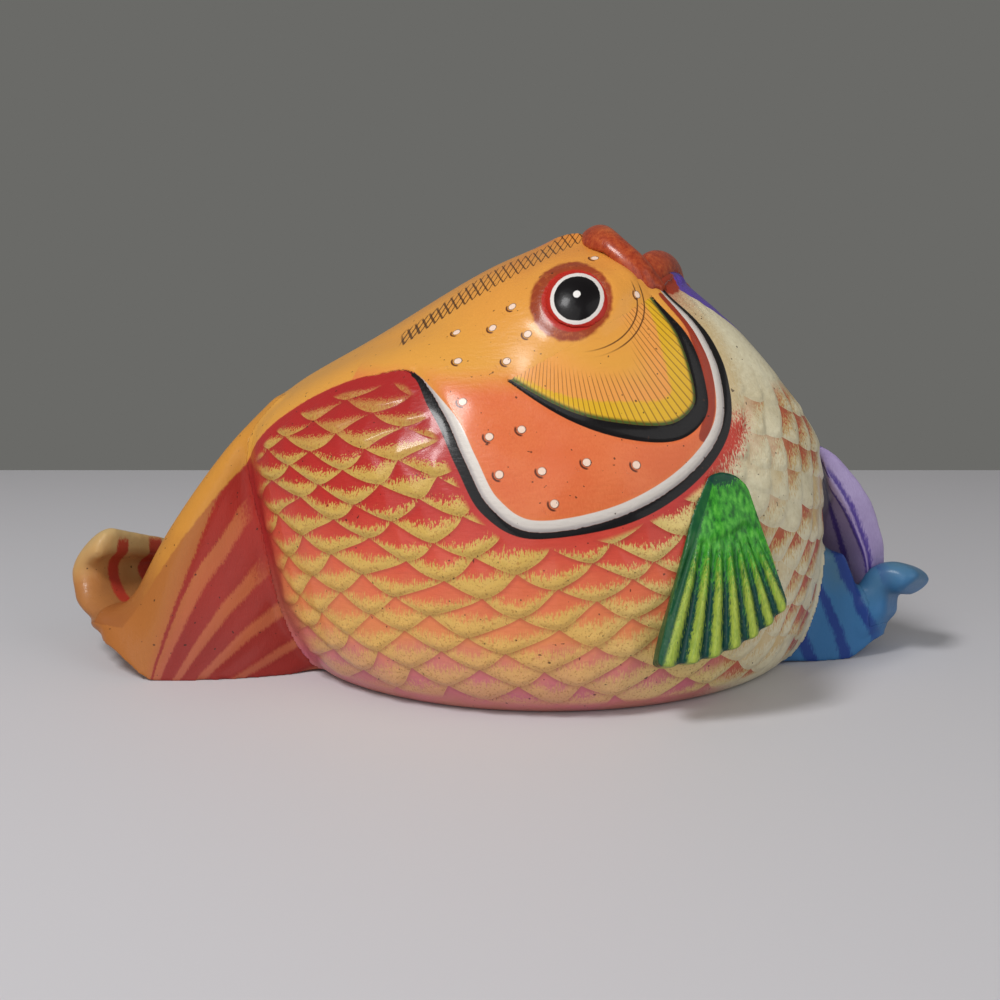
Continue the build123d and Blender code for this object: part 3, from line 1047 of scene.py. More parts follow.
class BodyFinish(Finish):
    """Paint of the body: warm on the near side, cool on the far side."""

    def __init__(self, seats):
        super().__init__("body_paint")
        self.seats = seats
        self.x, self.y, self.z = self.parts(self.place, 1.0 / MM)
        self.reach = (self.x - HEAD_SHIFT) * float(HEAD_FORWARD[0]) + self.y * float(HEAD_FORWARD[1])
        self.head_out = (self.x - HEAD_SHIFT) * float(HEAD_NEAR[0]) + self.y * float(HEAD_NEAR[1])
        self.far = self.fade(-2.0, 2.0, self.kept("out"))
        for name in BODY_FIELDS:
            setattr(self, name, self.kept(name))
        self.place_on_scale()
        self.brushwork()

    def sided(self, near_colour, far_colour):
        """One colour on the near side and another on the far side."""
        return self.mix(self.far, near_colour, far_colour)

    def scale_edge(self, number):
        """How far down the free edge of a row of scales is, and which scale it belongs to."""
        phase = self.kept("column") + (number * 0.5).fraction()
        middle = (phase + 0.5).floor()
        return number + 1.0 - (abs(phase - middle) * 2.0).power(SCALE_ROUNDNESS), middle

    def place_on_scale(self):
        """Place on a scale: below its corners, below the one above, above its own edge, and a chance."""
        row = self.kept("row")
        number = row.floor()
        owner = number + row.exceeds(self.scale_edge(number)[0])
        self.below = row - owner
        self.rise = (row - self.scale_edge(owner - 1.0)[0]) * 0.5
        edge, middle = self.scale_edge(owner)
        self.drop = edge - row
        mixed = owner * CHANCE_BY_ROW + middle * CHANCE_BY_COLUMN
        self.chance = (mixed.sine() * CHANCE_SPREAD).fraction()

    def edge_share(self):
        """1 on the lower part of each scale, with a ragged border that climbs lower down the flank."""
        start = self.step(8.0, 50.0, self.z) * 0.32 + self.step(58.0, 82.0, self.z) * 0.32 - 0.05
        brush = self.below * 0.65 + (1.0 - self.drop) * 0.35 + (self.chance - 0.5) * 0.4
        brush = brush + self.hairs * 1.5 + self.cloud * 0.5 - start
        softness = self.fade(15.0, 45.0, self.z) * 0.25
        by_tail = self.tail_left + self.hairs * 12.0 + self.cloud * 6.0
        clear_tail = self.fade(-15.0, -5.0, by_tail)
        share = self.step(softness * -1.0 - 0.10, softness + 0.14, brush)
        bristle = self.step(-0.3, 0.25, self.hairs + self.cloud * 0.6)
        dry = 1.0 - self.step(54.0, 78.0, self.z) * bristle * 0.8
        return share * self.step(0.15, 0.6, self.mask) * clear_tail * dry

    def flank(self, edge):
        """Scales of the flank: red above, salmon and yellow lower down, pink at the bottom, with painted
        shade under the scale edges and beside the tail.
        """
        level = (self.z + self.cloud * 12.0) / 90.0
        warm = self.ramp(level, [
            (0.00, rgb(196, 122, 108)), (0.07, rgb(204, 112, 128)), (0.14, rgb(214, 124, 116)),
            (0.22, rgb(228, 138, 86)), (0.32, rgb(226, 118, 80)), (0.43, rgb(214, 84, 66)),
            (0.56, rgb(190, 52, 46)), (0.72, rgb(174, 42, 40)), (1.00, rgb(164, 36, 36))])
        cool = self.ramp(level, [
            (0.0, rgb(120, 140, 180)), (0.25, rgb(80, 130, 180)),
            (0.5, rgb(52, 92, 160)), (0.8, rgb(62, 50, 130))])
        gold = self.ramp(level, [
            (0.00, rgb(206, 142, 116)), (0.08, rgb(216, 162, 116)), (0.20, rgb(228, 180, 100)),
            (0.45, rgb(216, 178, 92)), (0.70, rgb(202, 166, 84)), (0.95, rgb(192, 148, 78))])
        gold = self.mix(self.step(-10.0, 42.0, self.along), gold, rgb(230, 208, 138))
        stipple = self.step(0.07, 0.17, self.noise(0.55, 1.0) - 0.5)
        gold = self.mix(stipple * 0.5, gold, rgb(164, 106, 54))
        colour = self.mix(edge, self.sided(warm, cool), self.sided(gold, rgb(126, 190, 170)))
        # Painted shade: a thin dark band just under the free edge of each scale above.
        crease = self.fade(0.0, 0.16, self.rise) * self.step(0.2, 0.7, self.mask)
        colour = self.mix(crease * 0.25, colour, self.sided(rgb(130, 48, 36), rgb(30, 40, 90)))
        # Red and brown beside the tail joint: the red of the paint there, darkened as painted shade.
        by_tail = self.step(-14.0, -3.0, self.tail_left + self.cloud * 8.0) * self.step(4.0, 20.0, self.z)
        tail_joint_shade = self.mix(self.step(16.0, 36.0, self.z), rgb(158, 80, 66), rgb(160, 44, 42))
        return self.mix(by_tail, colour, self.sided(tail_joint_shade, rgb(60, 60, 130)))

    def throat(self):
        """Cream front, with a few red wedges on the scales and ochre along the gill cover."""
        scaled = self.step(0.3, 0.8, self.mask)
        bare = self.step(38.0, 52.0, self.z) * self.fade(48.0, 60.0, self.along + self.cloud * 14.0)
        scaled = scaled * (1.0 - bare * 0.85)
        cream = self.mix(self.step(-0.25, 0.3, self.cloud + self.grain * 0.6), CREAM, rgb(210, 197, 161))
        brush = self.hairs * 2.4 + self.cloud - self.below + (self.chance - 0.6) * 0.5
        wedge = self.step(0.1, 0.45, brush) * self.step(0.3, 0.4, self.chance)
        gilt = self.step(-0.35, 0.05, brush) * self.step(0.2, 0.3, self.chance)
        cream = self.mix(gilt * scaled * 0.7, cream, rgb(206, 166, 88))
        cream = self.mix(wedge * scaled * 0.85, cream, self.sided(rgb(182, 64, 48), rgb(96, 98, 160)))
        # Ochre tint beside the black line of the gill cover.
        ochre_by_gill = self.fade(0.0, 7.0, self.hairs * 7.0 + self.cloud * 8.0 - self.gill - GILL_BLACK)
        cream = self.mix(ochre_by_gill * self.step(64.0, 72.0, self.z) * 0.5, cream, rgb(182, 142, 66))
        blush = self.fade(5.0, 9.0, self.hairs * 14.0 + self.cloud * 6.0 - self.gill)
        blush = blush * self.step(44.0, 50.0, self.z)
        blush = blush * self.fade(66.0, 72.0, self.z + self.hairs * 12.0)
        return self.mix(blush * (1.0 - self.far), cream, rgb(192, 58, 42))

    def skin(self):
        """Golden face and back, with orange gill covers."""
        tone = self.z / 115.0 + self.cloud * 0.2
        warm = self.ramp(tone, [
            (0.45, rgb(220, 158, 66)), (0.72, rgb(224, 158, 68)),
            (0.88, rgb(224, 152, 66)), (1.0, rgb(214, 134, 58))])
        cool = self.ramp(tone, [
            (0.45, rgb(96, 150, 190)), (0.75, rgb(110, 116, 190)), (0.95, rgb(126, 96, 182))])
        lower = 78.0 + (self.reach - 5.0).most(0.0) * 0.5 - self.z + self.cloud * 5.0
        lower = self.step(-4.0, 4.0, lower) * self.step(-2.0, 4.0, self.gill)
        lower = lower * self.fade(30.0, 44.0, self.gill) * self.fade(-0.6, 0.2, self.hollow)
        streak = self.step(-0.2, 0.25, self.cloud + self.hairs * 0.6)
        cover = self.mix(streak, rgb(220, 108, 62), rgb(226, 120, 72))
        return self.mix(lower, self.sided(warm, cool), self.sided(cover, rgb(112, 92, 176)))

    def pocket(self, skin):
        """Yellow and salmon inside the dark line of the cheek, with thin hatching."""
        inner = self.step(-0.6, 0.2, self.hollow)
        blush = inner * self.fade(7.0, 15.0, self.hollow)
        skin = self.mix(blush, skin, self.sided(rgb(232, 156, 76), rgb(120, 150, 200)))
        width = self.step(-8.0, 30.0, self.reach) * (1.0 - self.step(84.0, 97.0, self.z) * 0.6) * 4.6 + 1.6
        yellow = inner * self.fade(-0.5, 0.5, self.hollow + self.hairs * 2.0 - width)
        skin = self.mix(yellow, skin, self.sided(rgb(222, 174, 40), rgb(90, 180, 190)))
        skin = self.mix(inner * self.fade(0.3, 1.3, self.hollow), skin, rgb(70, 92, 40))
        turn = self.angle(self.reach - HATCH_FOCUS[0], HATCH_FOCUS[1] - self.z)
        hatch = self.stripe((turn / HATCH_STEP).fraction(), 0.5, 0.1, 0.06) * inner
        limit = 8.0 + self.step(0.0, 30.0, self.reach) * 6.0
        hatch = hatch * self.fade(-2.0, 2.0, self.hollow + self.cloud * 6.0 - limit)
        return self.mix(hatch * 0.65, skin, self.sided(rgb(112, 62, 24), rgb(40, 40, 90)))

    def forehead(self, skin):
        """A strip of crossed lines along the back of the head."""
        across = self.z - STRIP_EDGE - self.x * STRIP_SLOPE + self.x * self.x * STRIP_BEND + self.grain * 0.6
        strip = self.step(-0.15, 0.15, across) * self.step(-40.5, -39.5, self.x)
        strip = strip * self.fade(7.0, 8.0, self.x)
        strip = strip * self.fade(-4.0, -2.0, self.y - self.x * 0.2)
        width = 0.05 + self.fade(-38.0, -12.0, self.x) * 0.06
        for slope in STRIP_LINES:
            gap = abs(((self.x + across * slope) / STRIP_STEP).fraction() - 0.5)
            line = self.fade(width, width + 0.08, gap)
            skin = self.mix(line * strip * 0.85, skin, rgb(62, 34, 18))
        return skin

    def sockets(self, skin):
        """Brown and red rings about the eyes and two thin arcs before each of them."""
        for side in (NEAR, FAR):
            seat = self.seats[side][0]
            ring = self.gap_from(seat)
            ahead = self.step(3.0, 7.0, self.reach - EYE_REACH) * self.step(83.0, 87.0, self.z)
            ahead = ahead * self.fade(99.0, 102.0, self.z)
            inner, outer = (self.stripe(ring, radius, ARC_HALF_WIDTH, 0.08) for radius in ARC_RADII)
            skin = self.mix(inner.most(outer) * ahead * 0.85, skin, rgb(70, 40, 22))
            axis = eye_axis(side)
            here = self.fade(18.0, 19.0, ring)
            centre = seat - HEAD_FORWARD * 1.6 - UP * 0.5
            socket = self.gap_from_axis(centre, axis) + self.cloud * 1.4 + self.grain * 1.2
            brown = self.fade(9.4, 10.4, socket) * here
            skin = self.mix(brown, skin, self.sided(rgb(150, 62, 32), rgb(70, 50, 130)))
            streak = brown * self.step(0.0, 0.3, self.grain + self.hairs * 0.5)
            skin = self.mix(streak * 0.7, skin, self.sided(rgb(190, 98, 46), rgb(90, 70, 150)))
            centre = seat - HEAD_FORWARD * 0.9 - UP * 0.45
            red = self.fade(7.5, 7.9, self.gap_from_axis(centre, axis) + self.grain * 0.6) * here
            skin = self.mix(red, skin, self.sided(EYE_RED, EYE_VIOLET))
        return skin

    def cheek_lines(self, colour):
        """Brown and black lines of the cheek and the black and white edge of the gill cover."""
        brown = self.step(-0.2, 0.2, self.kept("brown") + self.grain * 0.4)
        corner = self.gap_from(head_point(22.0, 102.4, 12.0)) + self.grain * 2.0
        brown = brown.most(self.fade(4.6, 5.4, corner))
        colour = self.mix(brown, colour, self.sided(rgb(152, 54, 32), rgb(80, 50, 130)))
        # Painted shade: dark red-brown inside the shallow open mouth, for the depth of a hollow mouth.
        mouth = self.step(0.02, 0.3, self.kept("mouth") + self.grain * 0.2)
        colour = self.mix(mouth, colour, rgb(96, 32, 22))
        colour = self.mix(self.step(-0.12, 0.12, self.cheek), colour, self.sided(BLACK, rgb(40, 30, 80)))
        end = self.step(2.5, 17.0, self.gill_left)
        width = self.step(0.0, 22.0, self.gill_run) * GILL_WHITE * self.step(-5.0, 10.0, self.gill_left)
        white = self.step(-0.1, 0.1, self.gill) * self.fade(-0.12, 0.12, self.gill - width)
        shade = self.mix(self.step(0.2, 1.2, self.gill), rgb(176, 168, 166), WHITE)
        colour = self.mix(white, colour, self.sided(shade, rgb(132, 104, 190)))
        width = (self.step(0.0, 10.0, self.gill_run) * 0.55 + 0.45) * GILL_BLACK * (end * 0.5 + 0.5)
        width = width * (1.0 - self.stripe(self.gill_run, 54.0, 10.0, 10.0) * 0.4)
        black = self.step(-0.12, 0.12, self.gill + width) * self.fade(-0.1, 0.1, self.gill)
        return self.mix(black, colour, self.sided(BLACK, rgb(54, 34, 110)))

    def dots(self, colour):
        """Raised pale dots, each with a dark stroke under it. Returns the colour and the dots."""
        across, upward, _ = self.kept_vector("dot")
        spread = (across * across + upward * upward).root()
        lean = (across * -0.7 - upward * 0.7) / (spread + 0.01)
        stroke = self.stripe(spread, 1.5, 0.24, 0.1) * self.step(0.3, 0.7, lean)
        colour = self.mix(stroke * 0.95, colour, rgb(84, 36, 20))
        dot = self.fade(DOT_RADIUS - 0.15, DOT_RADIUS + 0.1, spread)
        return self.mix(dot, colour, rgb(242, 212, 192)), dot

    def paint(self):
        """The whole paint of the body."""
        edge = self.edge_share()
        front = self.step(26.0, 43.0, self.along + self.cloud * 8.0 + self.hairs * 14.0)
        colour = self.mix(front, self.flank(edge), self.throat())
        skin = self.sockets(self.forehead(self.pocket(self.skin())))
        colour = self.mix(self.step(-0.25, 0.25, self.face + self.grain * 0.5), colour, skin)
        chin = self.step(89.3, 89.9, self.z - self.head_out) * self.step(19.5, 20.5, self.reach)
        chin = chin * self.step(64.0, 68.0, self.z + self.hairs * 14.0 + self.cloud * 8.0)
        colour = self.mix(chin, colour, rgb(92, 66, 160))
        colour, dot = self.dots(self.cheek_lines(colour))
        colour = self.specked(colour, PIN_HOLE)
        strokes = self.noise(0.8, 2.0, (0.25, 0.6, 1.0)) - 0.5
        height = self.grain * 0.5 + self.hairs * 0.35 + strokes * 0.8 + edge * self.hairs * 0.8
        return self.wax(colour, WAX_ROUGHNESS + self.grain * 0.12, height + dot * 4.0)


# Left tail: angle and half width in degrees of each stripe, which bends about its place at the reach
STRIPES = [(26.0, 4.2), (38.5, 3.9), (50.5, 4.2), (61.5, 4.0), (72.0, 4.0)]
STRIPE_BY_RIDGE = 15.5
STRIPE_BEND = 0.2
STRIPE_REACH = 47.0


def left_tail_paint():
    """Orange clay with red stripes that run to the curled end, with painted shade towards the table."""
    finish = Finish("left_tail_paint")
    x, _, z = finish.parts(finish.place, 1.0 / MM)
    hairs, cloud, grain = finish.brushwork()
    across = x - STRIPE_FOCUS[0]
    up = z - STRIPE_FOCUS[1]
    distance = (across * across + up * up).root()
    turn = finish.angle(across, up) + (STRIPE_REACH - distance) * STRIPE_BEND + cloud * 2.4 + hairs * 2.0
    red = finish.stripe(turn, STRIPE_BY_RIDGE, 0.9 + finish.step(38.0, 72.0, distance) * 2.2, 0.5)
    for centre, half_width in STRIPES:
        red = red.most(finish.stripe(turn, centre, half_width, 0.8))
    red = red.most(finish.step(40.0, 54.0, z + cloud * 8.0 + hairs * 10.0))
    by_body = finish.fade(2.0, 7.0, finish.kept("tail_left") + hairs * 8.0 + cloud * 5.0)
    red = red.most(by_body * finish.step(16.0, 32.0, z))
    # The ground, the band and the red grow darker towards the table: painted shade, over the tail's own
    # brownish orange.
    ground = finish.ramp(z / 60.0 + cloud * 0.3, [
        (0.0, rgb(164, 84, 62)), (0.3, rgb(178, 94, 58)),
        (0.7, rgb(192, 102, 60)), (1.0, rgb(180, 66, 48))])
    ground = finish.mix(finish.fade(8.0, 22.0, turn), ground, rgb(170, 104, 50))
    paint = finish.ramp(z / 70.0 + cloud * 0.4, [
        (0.1, rgb(138, 38, 36)), (0.6, rgb(164, 36, 32)), (0.9, rgb(154, 34, 32))])
    colour = finish.mix(red * 0.92, ground, paint)
    band = finish.ramp(z / 60.0 + cloud * 0.3, [
        (0.0, rgb(132, 74, 44)), (0.3, rgb(162, 98, 48)), (0.6, rgb(204, 140, 58))])
    colour = finish.mix(finish.step(-0.4, 0.4, finish.kept("face") + grain), colour, band)
    colour = finish.specked(colour, PIN_HOLE)
    return finish.brushed(colour, DRY_ROUGHNESS, DRY_COAT)


def left_curl_paint():
    """Pale yellow rim with red stripes along the roll."""
    finish = Finish("left_curl_paint")
    _, _, z = finish.parts(finish.place, 1.0 / MM)
    hairs, cloud, _ = finish.brushwork()
    width = finish.kept("petal_width")
    # Darker and browner towards the table: the curl's own orange-tan foot, deepened with painted shade.
    ground = finish.ramp(z / 40.0 + cloud * 0.4, [
        (0.2, rgb(146, 90, 54)), (0.45, rgb(176, 118, 66)),
        (0.6, rgb(192, 146, 90)), (0.8, rgb(196, 164, 112))])
    place = width + cloud * 2.0 + hairs * 1.2
    red = finish.stripe(place, -6.5, 1.9, 0.4).most(finish.stripe(place, 4.5, 2.2, 0.4))
    red = red * finish.step(0.0, 0.3, finish.kept("petal") + hairs * 0.5)
    red = red * finish.fade(29.0, 30.5, z + width * 0.14 + hairs * 3.0)
    colour = finish.mix(red * 0.9, ground, rgb(176, 50, 40))
    colour = finish.specked(colour, rgb(62, 36, 24))
    return finish.brushed(colour, DRY_ROUGHNESS, DRY_COAT)


def right_tail_paint():
    """Blue with dark stripes."""
    finish = Finish("right_tail_paint")
    x, _, z = finish.parts(finish.place, 1.0 / MM)
    hairs, cloud, _ = finish.brushwork()
    ground = finish.ramp(z / 32.0 + cloud * 0.8, [
        (0.0, rgb(58, 112, 164)), (0.5, rgb(60, 114, 162)), (1.0, rgb(84, 116, 132))])
    slant = x * 0.8 + z * 0.4 + cloud * 5.0 + hairs * 2.0
    dark = finish.stripe((slant / 8.5).fraction(), 0.5, 0.16, 0.07) * finish.fade(84.0, 92.0, x)
    colour = finish.mix(dark * 0.9, ground, rgb(34, 56, 132))
    return finish.brushed(colour, DRY_ROUGHNESS, DRY_COAT)


def clay_paint():
    """Bare fired clay."""
    finish = Finish("bare_clay")
    speck = finish.noise(0.9, 3.0) - 0.5
    cloud = finish.noise(12.0, 3.0) - 0.5
    colour = finish.mix(finish.step(-0.3, 0.3, cloud + speck), rgb(176, 112, 78), rgb(196, 138, 102))
    return finish.wax(colour, 0.85 + speck * 0.1, speck + cloud, coat=0.0, relief=0.3)


def eye_paint(node, seat, side):
    """Black pupil in a white ring, with a small white dot, in a soft gloss."""
    finish = Finish(node + "_paint")
    axis = eye_axis(side)
    grain = finish.noise(1.2, 2.0) - 0.5
    ring = finish.gap_from_axis(seat, axis) + grain * 0.25
    colour = finish.mix(finish.step(PUPIL - 0.1, PUPIL + 0.1, ring), BLACK, rgb(228, 222, 216))
    rim = EYE_RED if side == NEAR else EYE_VIOLET
    colour = finish.mix(finish.step(EYE_WHITE - 0.1, EYE_WHITE + 0.1, ring), colour, rim)
    glint = finish.gap_from_axis(seat + UP * GLINT, axis) + grain * 0.3
    colour = finish.mix(finish.fade(GLINT - 0.1, GLINT + 0.1, glint), colour, rgb(238, 234, 230))
    return finish.wax(colour, 0.35 + grain * 0.06, grain, coat=0.14, relief=0.05)


def lip_paint():
    """Streaky orange, brown and red."""
    finish = Finish("lip_paint")
    _, _, z = finish.parts(finish.place, 1.0 / MM)
    hairs, cloud, _ = finish.brushwork()
    streak = finish.noise(1.3, 4.0) - 0.5
    tone = streak * 0.9 + cloud * 0.5 + hairs * 0.4 + 0.5
    colour = finish.ramp(tone, [
        (0.20, rgb(126, 42, 22)), (0.45, rgb(162, 62, 34)),
        (0.65, rgb(180, 80, 42)), (0.85, rgb(196, 104, 56))])
    ochre = finish.step(-0.05, 0.25, cloud + (z - 112.0) / 30.0)
    colour = finish.mix(ochre * 0.3, colour, rgb(204, 124, 58))
    return finish.brushed(colour)


def near_fin_paint():
    """Green, with yellow ribs between dark grooves and a dark cap."""
    finish = Finish("green_fin_paint")
    rib = finish.kept("rib")
    reach = finish.kept("reach")
    hairs, _, _ = finish.brushwork()
    strokes = finish.noise(1.1, 3.0, (1.0, 1.0, 0.3)) - 0.5
    green = finish.ramp(strokes * 1.4 + 0.5, [
        (0.25, rgb(24, 92, 30)), (0.5, rgb(52, 142, 38)), (0.8, rgb(92, 178, 62))])
    groove = abs((rib + hairs * 0.3).fraction() - 0.5) * 2.0
    olive = finish.mix(finish.step(-0.2, 0.2, strokes + hairs), rgb(138, 160, 62), rgb(164, 180, 72))
    ribbed = finish.mix(finish.step(0.4, 0.7, groove + hairs * 1.3), olive, rgb(18, 66, 60))
    colour = finish.mix(finish.step(22.0, 34.0, reach + hairs * 22.0), green, ribbed)
    colour = finish.mix(finish.step(0.1, 0.3, strokes) * 0.6, colour, green)
    outline = finish.fade(0.12, 0.34, rib + hairs * 0.5)
    cap = finish.fade(6.4, 7.6, reach + hairs * 6.0)
    colour = finish.mix(outline * 0.9, colour, rgb(16, 78, 44))
    colour = finish.mix(cap * 0.92, colour, rgb(8, 56, 48))
    return finish.brushed(colour, bristles=0.5)


def far_fin_paint():
    """Lavender, with dark purple lines along the grooves."""
    finish = Finish("purple_fin_paint")
    rib = finish.kept("rib")
    reach = finish.kept("reach")
    hairs, cloud, _ = finish.brushwork()
    lavender = finish.mix(finish.step(-0.2, 0.3, cloud + hairs * 0.5), rgb(160, 142, 188), rgb(178, 162, 204))
    rim = finish.step(0.3, 0.6, finish.kept("rim"))
    line = finish.stripe((rib / 2.0 + hairs * 0.3).fraction(), 0.5, 0.14, 0.08) * (1.0 - rim)
    depth = finish.kept("depth") + hairs * 1.4
    lower, upper = FIN_GROOVES
    ridge = finish.stripe(depth, lower, 0.7, 0.4).most(finish.stripe(depth, upper, 0.55, 0.4)) * rim
    ridge = ridge * finish.step(8.0, 14.0, reach + hairs * 10.0)
    ridge = ridge * finish.fade(34.0, 44.0, reach + hairs * 16.0)
    colour = finish.mix(line.most(ridge) * 0.9, lavender, rgb(70, 46, 142))
    return finish.brushed(colour, bristles=0.5)


# Pieces

def keep(piece, material, slot, *nodes):
    """Give a finished piece its paint, attach it to the root and hide the nodes that it stands for; slot is
    not used.
    """
    piece.data.materials.clear()
    piece.data.materials.append(material)
    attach(piece, "root")
    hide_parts(*nodes)


def build_body():
    """The clay form, cut into its pieces and painted. Returns the eyes' seats and the plain skin."""
    form = clay_form()
    found, seats, tree = shape_form(form)
    pieces = cut_form(form, found)
    paint = BodyFinish(seats).paint()
    keep(pieces["body_near"], paint, "body_paint", "body_half_near", "gill_cover_near")
    keep(pieces["body_far"], paint, "body_paint", "body_half_far", "gill_cover_far")
    blue = right_tail_paint()
    keep(pieces["tail_fan_left"], left_tail_paint(), "tail_paint_orange", "tail_fan_left")
    keep(pieces["tail_curl_left"], left_curl_paint(), "tail_paint_orange", "tail_curl_left")
    keep(pieces["tail_fan_right"], blue, "tail_paint_blue", "tail_fan_right")
    keep(pieces["tail_curl_right"], blue, "tail_paint_blue", "tail_curl_right")
    for name in TAIL_NODES:
        pieces[name].name = name + "_clay"
    frame["nodes"]["belly_slab"].data.materials.clear()
    frame["nodes"]["belly_slab"].data.materials.append(clay_paint())
    return seats, tree


def build_eyes(seats):
    """Low domes, a little longer up the slope of the skin than across."""
    for node, side in (("eye_near", NEAR), ("eye_far", FAR)):
        seat, normal = seats[side]
        eye = cad_copy(node, node + "_dome")
        soften(eye, EYE_GRAIN, 8)
        slope = UP - normal * normal[2]
        slope /= np.linalg.norm(slope)
        points = points_of(eye)
        move_points(eye, points + np.outer((points - seat) @ slope * (EYE_STRETCH - 1.0), slope))
        keep(eye, eye_paint(node, seat, side), "eye_paint", node)


def build_lips():
    """Soft rolls along the edges of the jaws."""
    paint = lip_paint()
    for node in ("upper_lip", "lower_lip"):
        lip = cad_copy(node, node + "_roll")
        soften(lip, LIP_GRAIN, 12)
        points = points_of(lip) + normals_of(lip) * LIP_SWELL
        points += mouth_shift(points)
        if node == "upper_lip":
            points += corner_pull(points, normals_of(lip))
        move_points(lip, points)
        keep(lip, paint, "lip_paint", node)


def corner_pull(points, normals):
    """Draws the two ends of the upper lip out and down round the corners of the mouth."""
    reach, out = head_places(points)
    end = smoothstep(6.0, 20.0, reach) * smoothstep(1.0, 9.0, np.abs(out))
    outward = np.outer(np.sign(out), HEAD_NEAR * LIP_END_OUT)
    pull = HEAD_FORWARD * LIP_END_FORWARD - UP * LIP_END_DOWN + outward
    sunk = np.outer(fade(-3.0, 8.0, reach), UP * LIP_SINK)
    return end[:, None] * (pull + normals * LIP_END_SWELL) - sunk


def fin_axes(tree, side):
    """The point that a fin's ribs run from, and its across, upward and outward directions."""
    direction = turned(FIN_BELLY_TURN + side * FIN_TURN)
    start = Vector((direction * 2 * OUTSIDE + UP * FIN_SEAT) * MM)
    foot = np.array(tree.ray_cast(start, Vector(-direction))[0]) / MM
    normal = turned(FIN_BELLY_TURN + side * (FIN_TURN + FIN_TWIST))
    lean = math.radians(FIN_LEAN)
    facing = normal * math.cos(lean) + UP * math.sin(lean)
    across = np.cross(UP, normal)
    upward = np.cross(facing, across)
    apex = foot - facing * FIN_THICKNESS / 2 + upward * (FIN_ROOT - FIN_SEAT_DROP)
    return apex, across, upward, facing


def build_fin(node, tree, side, rounds, fill, paint, slot):
    """A ribbed fan, rubbed soft, with its ribs raised again. Fill makes it a fuller, longer petal."""
    fin = cad_copy(node, node + "_clay")
    soften(fin, FIN_GRAIN, rounds)
    apex, across, upward, facing = fin_axes(tree, side)
    points = points_of(fin)
    offset = points - apex
    sideways = side * (offset @ across)
    downward = -(offset @ upward)
    spread = np.degrees(np.arctan2(sideways, downward)) + FIN_SPREAD / 2
    rib = spread / (FIN_SPREAD / FIN_RIBS)
    reach = np.hypot(sideways, downward)
    outer = smoothstep(0.2, 0.7, normals_of(fin) @ facing) * smoothstep(18.0, 28.0, reach)
    wave = -np.cos(2.0 * math.pi * rib) * FIN_RIB_RISE
    crown = FIN_CROWN * np.clip(1.0 - (2.0 * rib / FIN_RIBS - 1.0) ** 2, 0.0, 1.0)
    crown *= smoothstep(6.0, 22.0, reach) * fade(30.0, 52.0, reach)
    depth = offset @ facing
    rim = normals_of(fin) @ across * side
    grooves = sum(bell(depth, place, FIN_GROOVE_WIDTH) for place in FIN_GROOVES)
    fullness = fill * smoothstep(2.0, 24.0, reach) * fade(30.0, 46.0, reach)
    forward = fullness * FIN_FULL_FORWARD * smoothstep(3.0, 7.0, rib)
    forward -= fill * FIN_GROOVE_DEPTH * grooves * smoothstep(0.3, 0.8, rim)
    outward = wave * outer + crown + fullness * FIN_FULL_OUTWARD * (depth / FIN_THICKNESS + 0.5)
    drawn = fill * FIN_FULL_LENGTH * smoothstep(14.0, 46.0, reach) * smoothstep(1.0, 6.0, rib)
    shift = np.outer(outward, facing) + np.outer(side * forward, across) - np.outer(drawn, upward)
    move_points(fin, points + shift)
    for name, values in (("rib", rib), ("reach", reach), ("depth", depth), ("rim", rim)):
        note(fin, name, values)
    keep(fin, paint, slot, node)


# Stage: table and room, lamps by direction, size and power, and the camera, in metres and degrees

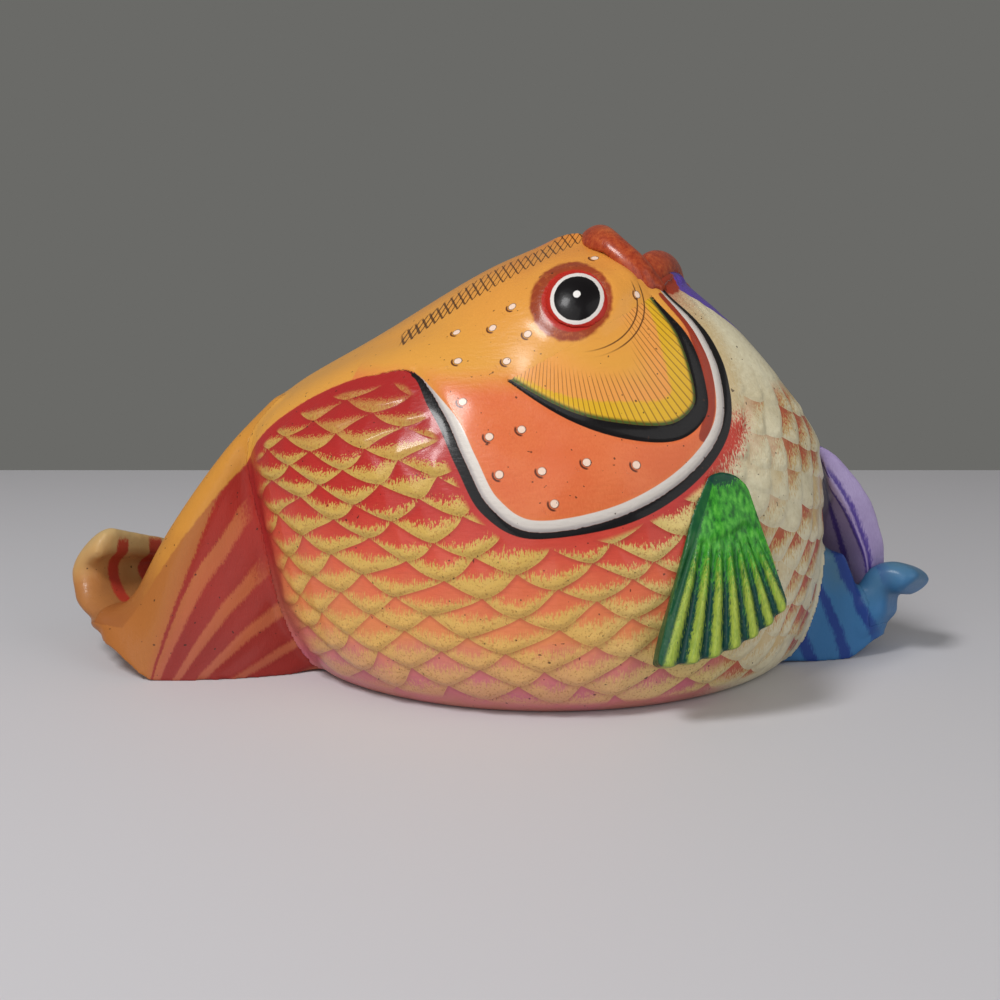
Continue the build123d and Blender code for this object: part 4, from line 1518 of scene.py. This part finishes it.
TABLE_SIZE = (3.0, 1.83)
TABLE_CENTRE = (0.0, -0.585, 0.0)
TABLE_COLOUR = rgb(204, 202, 206)
TABLE_ROUGHNESS = 0.6
ROOM_COLOUR = rgb(106, 106, 103)
LAMPS = [
    ("ceiling_light", (-0.42, -0.41, 0.81), 0.24, 4.6),
    ("window_light", (-0.35, -0.85, 0.45), 0.8, 2.4),
    ("fill_light", (0.8, -0.5, 0.5), 0.8, 2.0),
]
LAMP_TARGET = Vector((0.0, 0.0, 0.05))
LAMP_DISTANCE = 0.9
CAMERA_PLACE = (-0.015, -0.334, 0.102)
CAMERA_TILT = 10.1
CAMERA_LENS = 45.0
CAMERA_SENSOR = 36.0


def set_stage():
    """Pale table top, soft light from above and the camera."""
    bpy.ops.object.select_all(action="DESELECT")
    bpy.ops.mesh.primitive_plane_add(size=1.0)
    floor = bpy.context.view_layer.objects.active
    floor.name = "table_top"
    floor.data.transform(Matrix.Translation(TABLE_CENTRE) @ Matrix.Diagonal((*TABLE_SIZE, 1.0, 1.0)))
    finish = Finish("table_top")
    finish.feed(finish.shader.inputs["Base Color"], TABLE_COLOUR)
    finish.feed(finish.shader.inputs["Roughness"], TABLE_ROUGHNESS)
    floor.data.materials.append(finish.material)

    world = bpy.data.worlds.new("room")
    world.use_nodes = True
    world.node_tree.nodes["Background"].inputs["Color"].default_value = ROOM_COLOUR
    bpy.context.scene.world = world

    for name, aim, size, energy in LAMPS:
        lamp = bpy.data.objects.new(name, bpy.data.lights.new(name, "AREA"))
        lamp.data.size = size
        lamp.data.energy = energy
        lamp.location = LAMP_TARGET + Vector(aim).normalized() * LAMP_DISTANCE
        lamp.rotation_euler = Vector(aim).to_track_quat("Z", "Y").to_euler()
        bpy.context.scene.collection.objects.link(lamp)

    camera = bpy.data.objects.new("camera", bpy.data.cameras.new("camera"))
    camera.data.lens = CAMERA_LENS
    camera.data.sensor_width = CAMERA_SENSOR
    camera.location = CAMERA_PLACE
    camera.rotation_euler = (math.radians(90.0 - CAMERA_TILT), 0.0, 0.0)
    bpy.context.scene.collection.objects.link(camera)
    bpy.context.scene.camera = camera
    bpy.context.scene.view_settings.view_transform = "Standard"


eye_seats, plain_skin = build_body()
build_eyes(eye_seats)
build_lips()
build_fin("pectoral_fin_near", plain_skin, NEAR, 36, 0.0, near_fin_paint(), "fin_paint_green")
build_fin("pectoral_fin_far", plain_skin, FAR, 50, 1.0, far_fin_paint(), "fin_paint_purple")
set_stage()
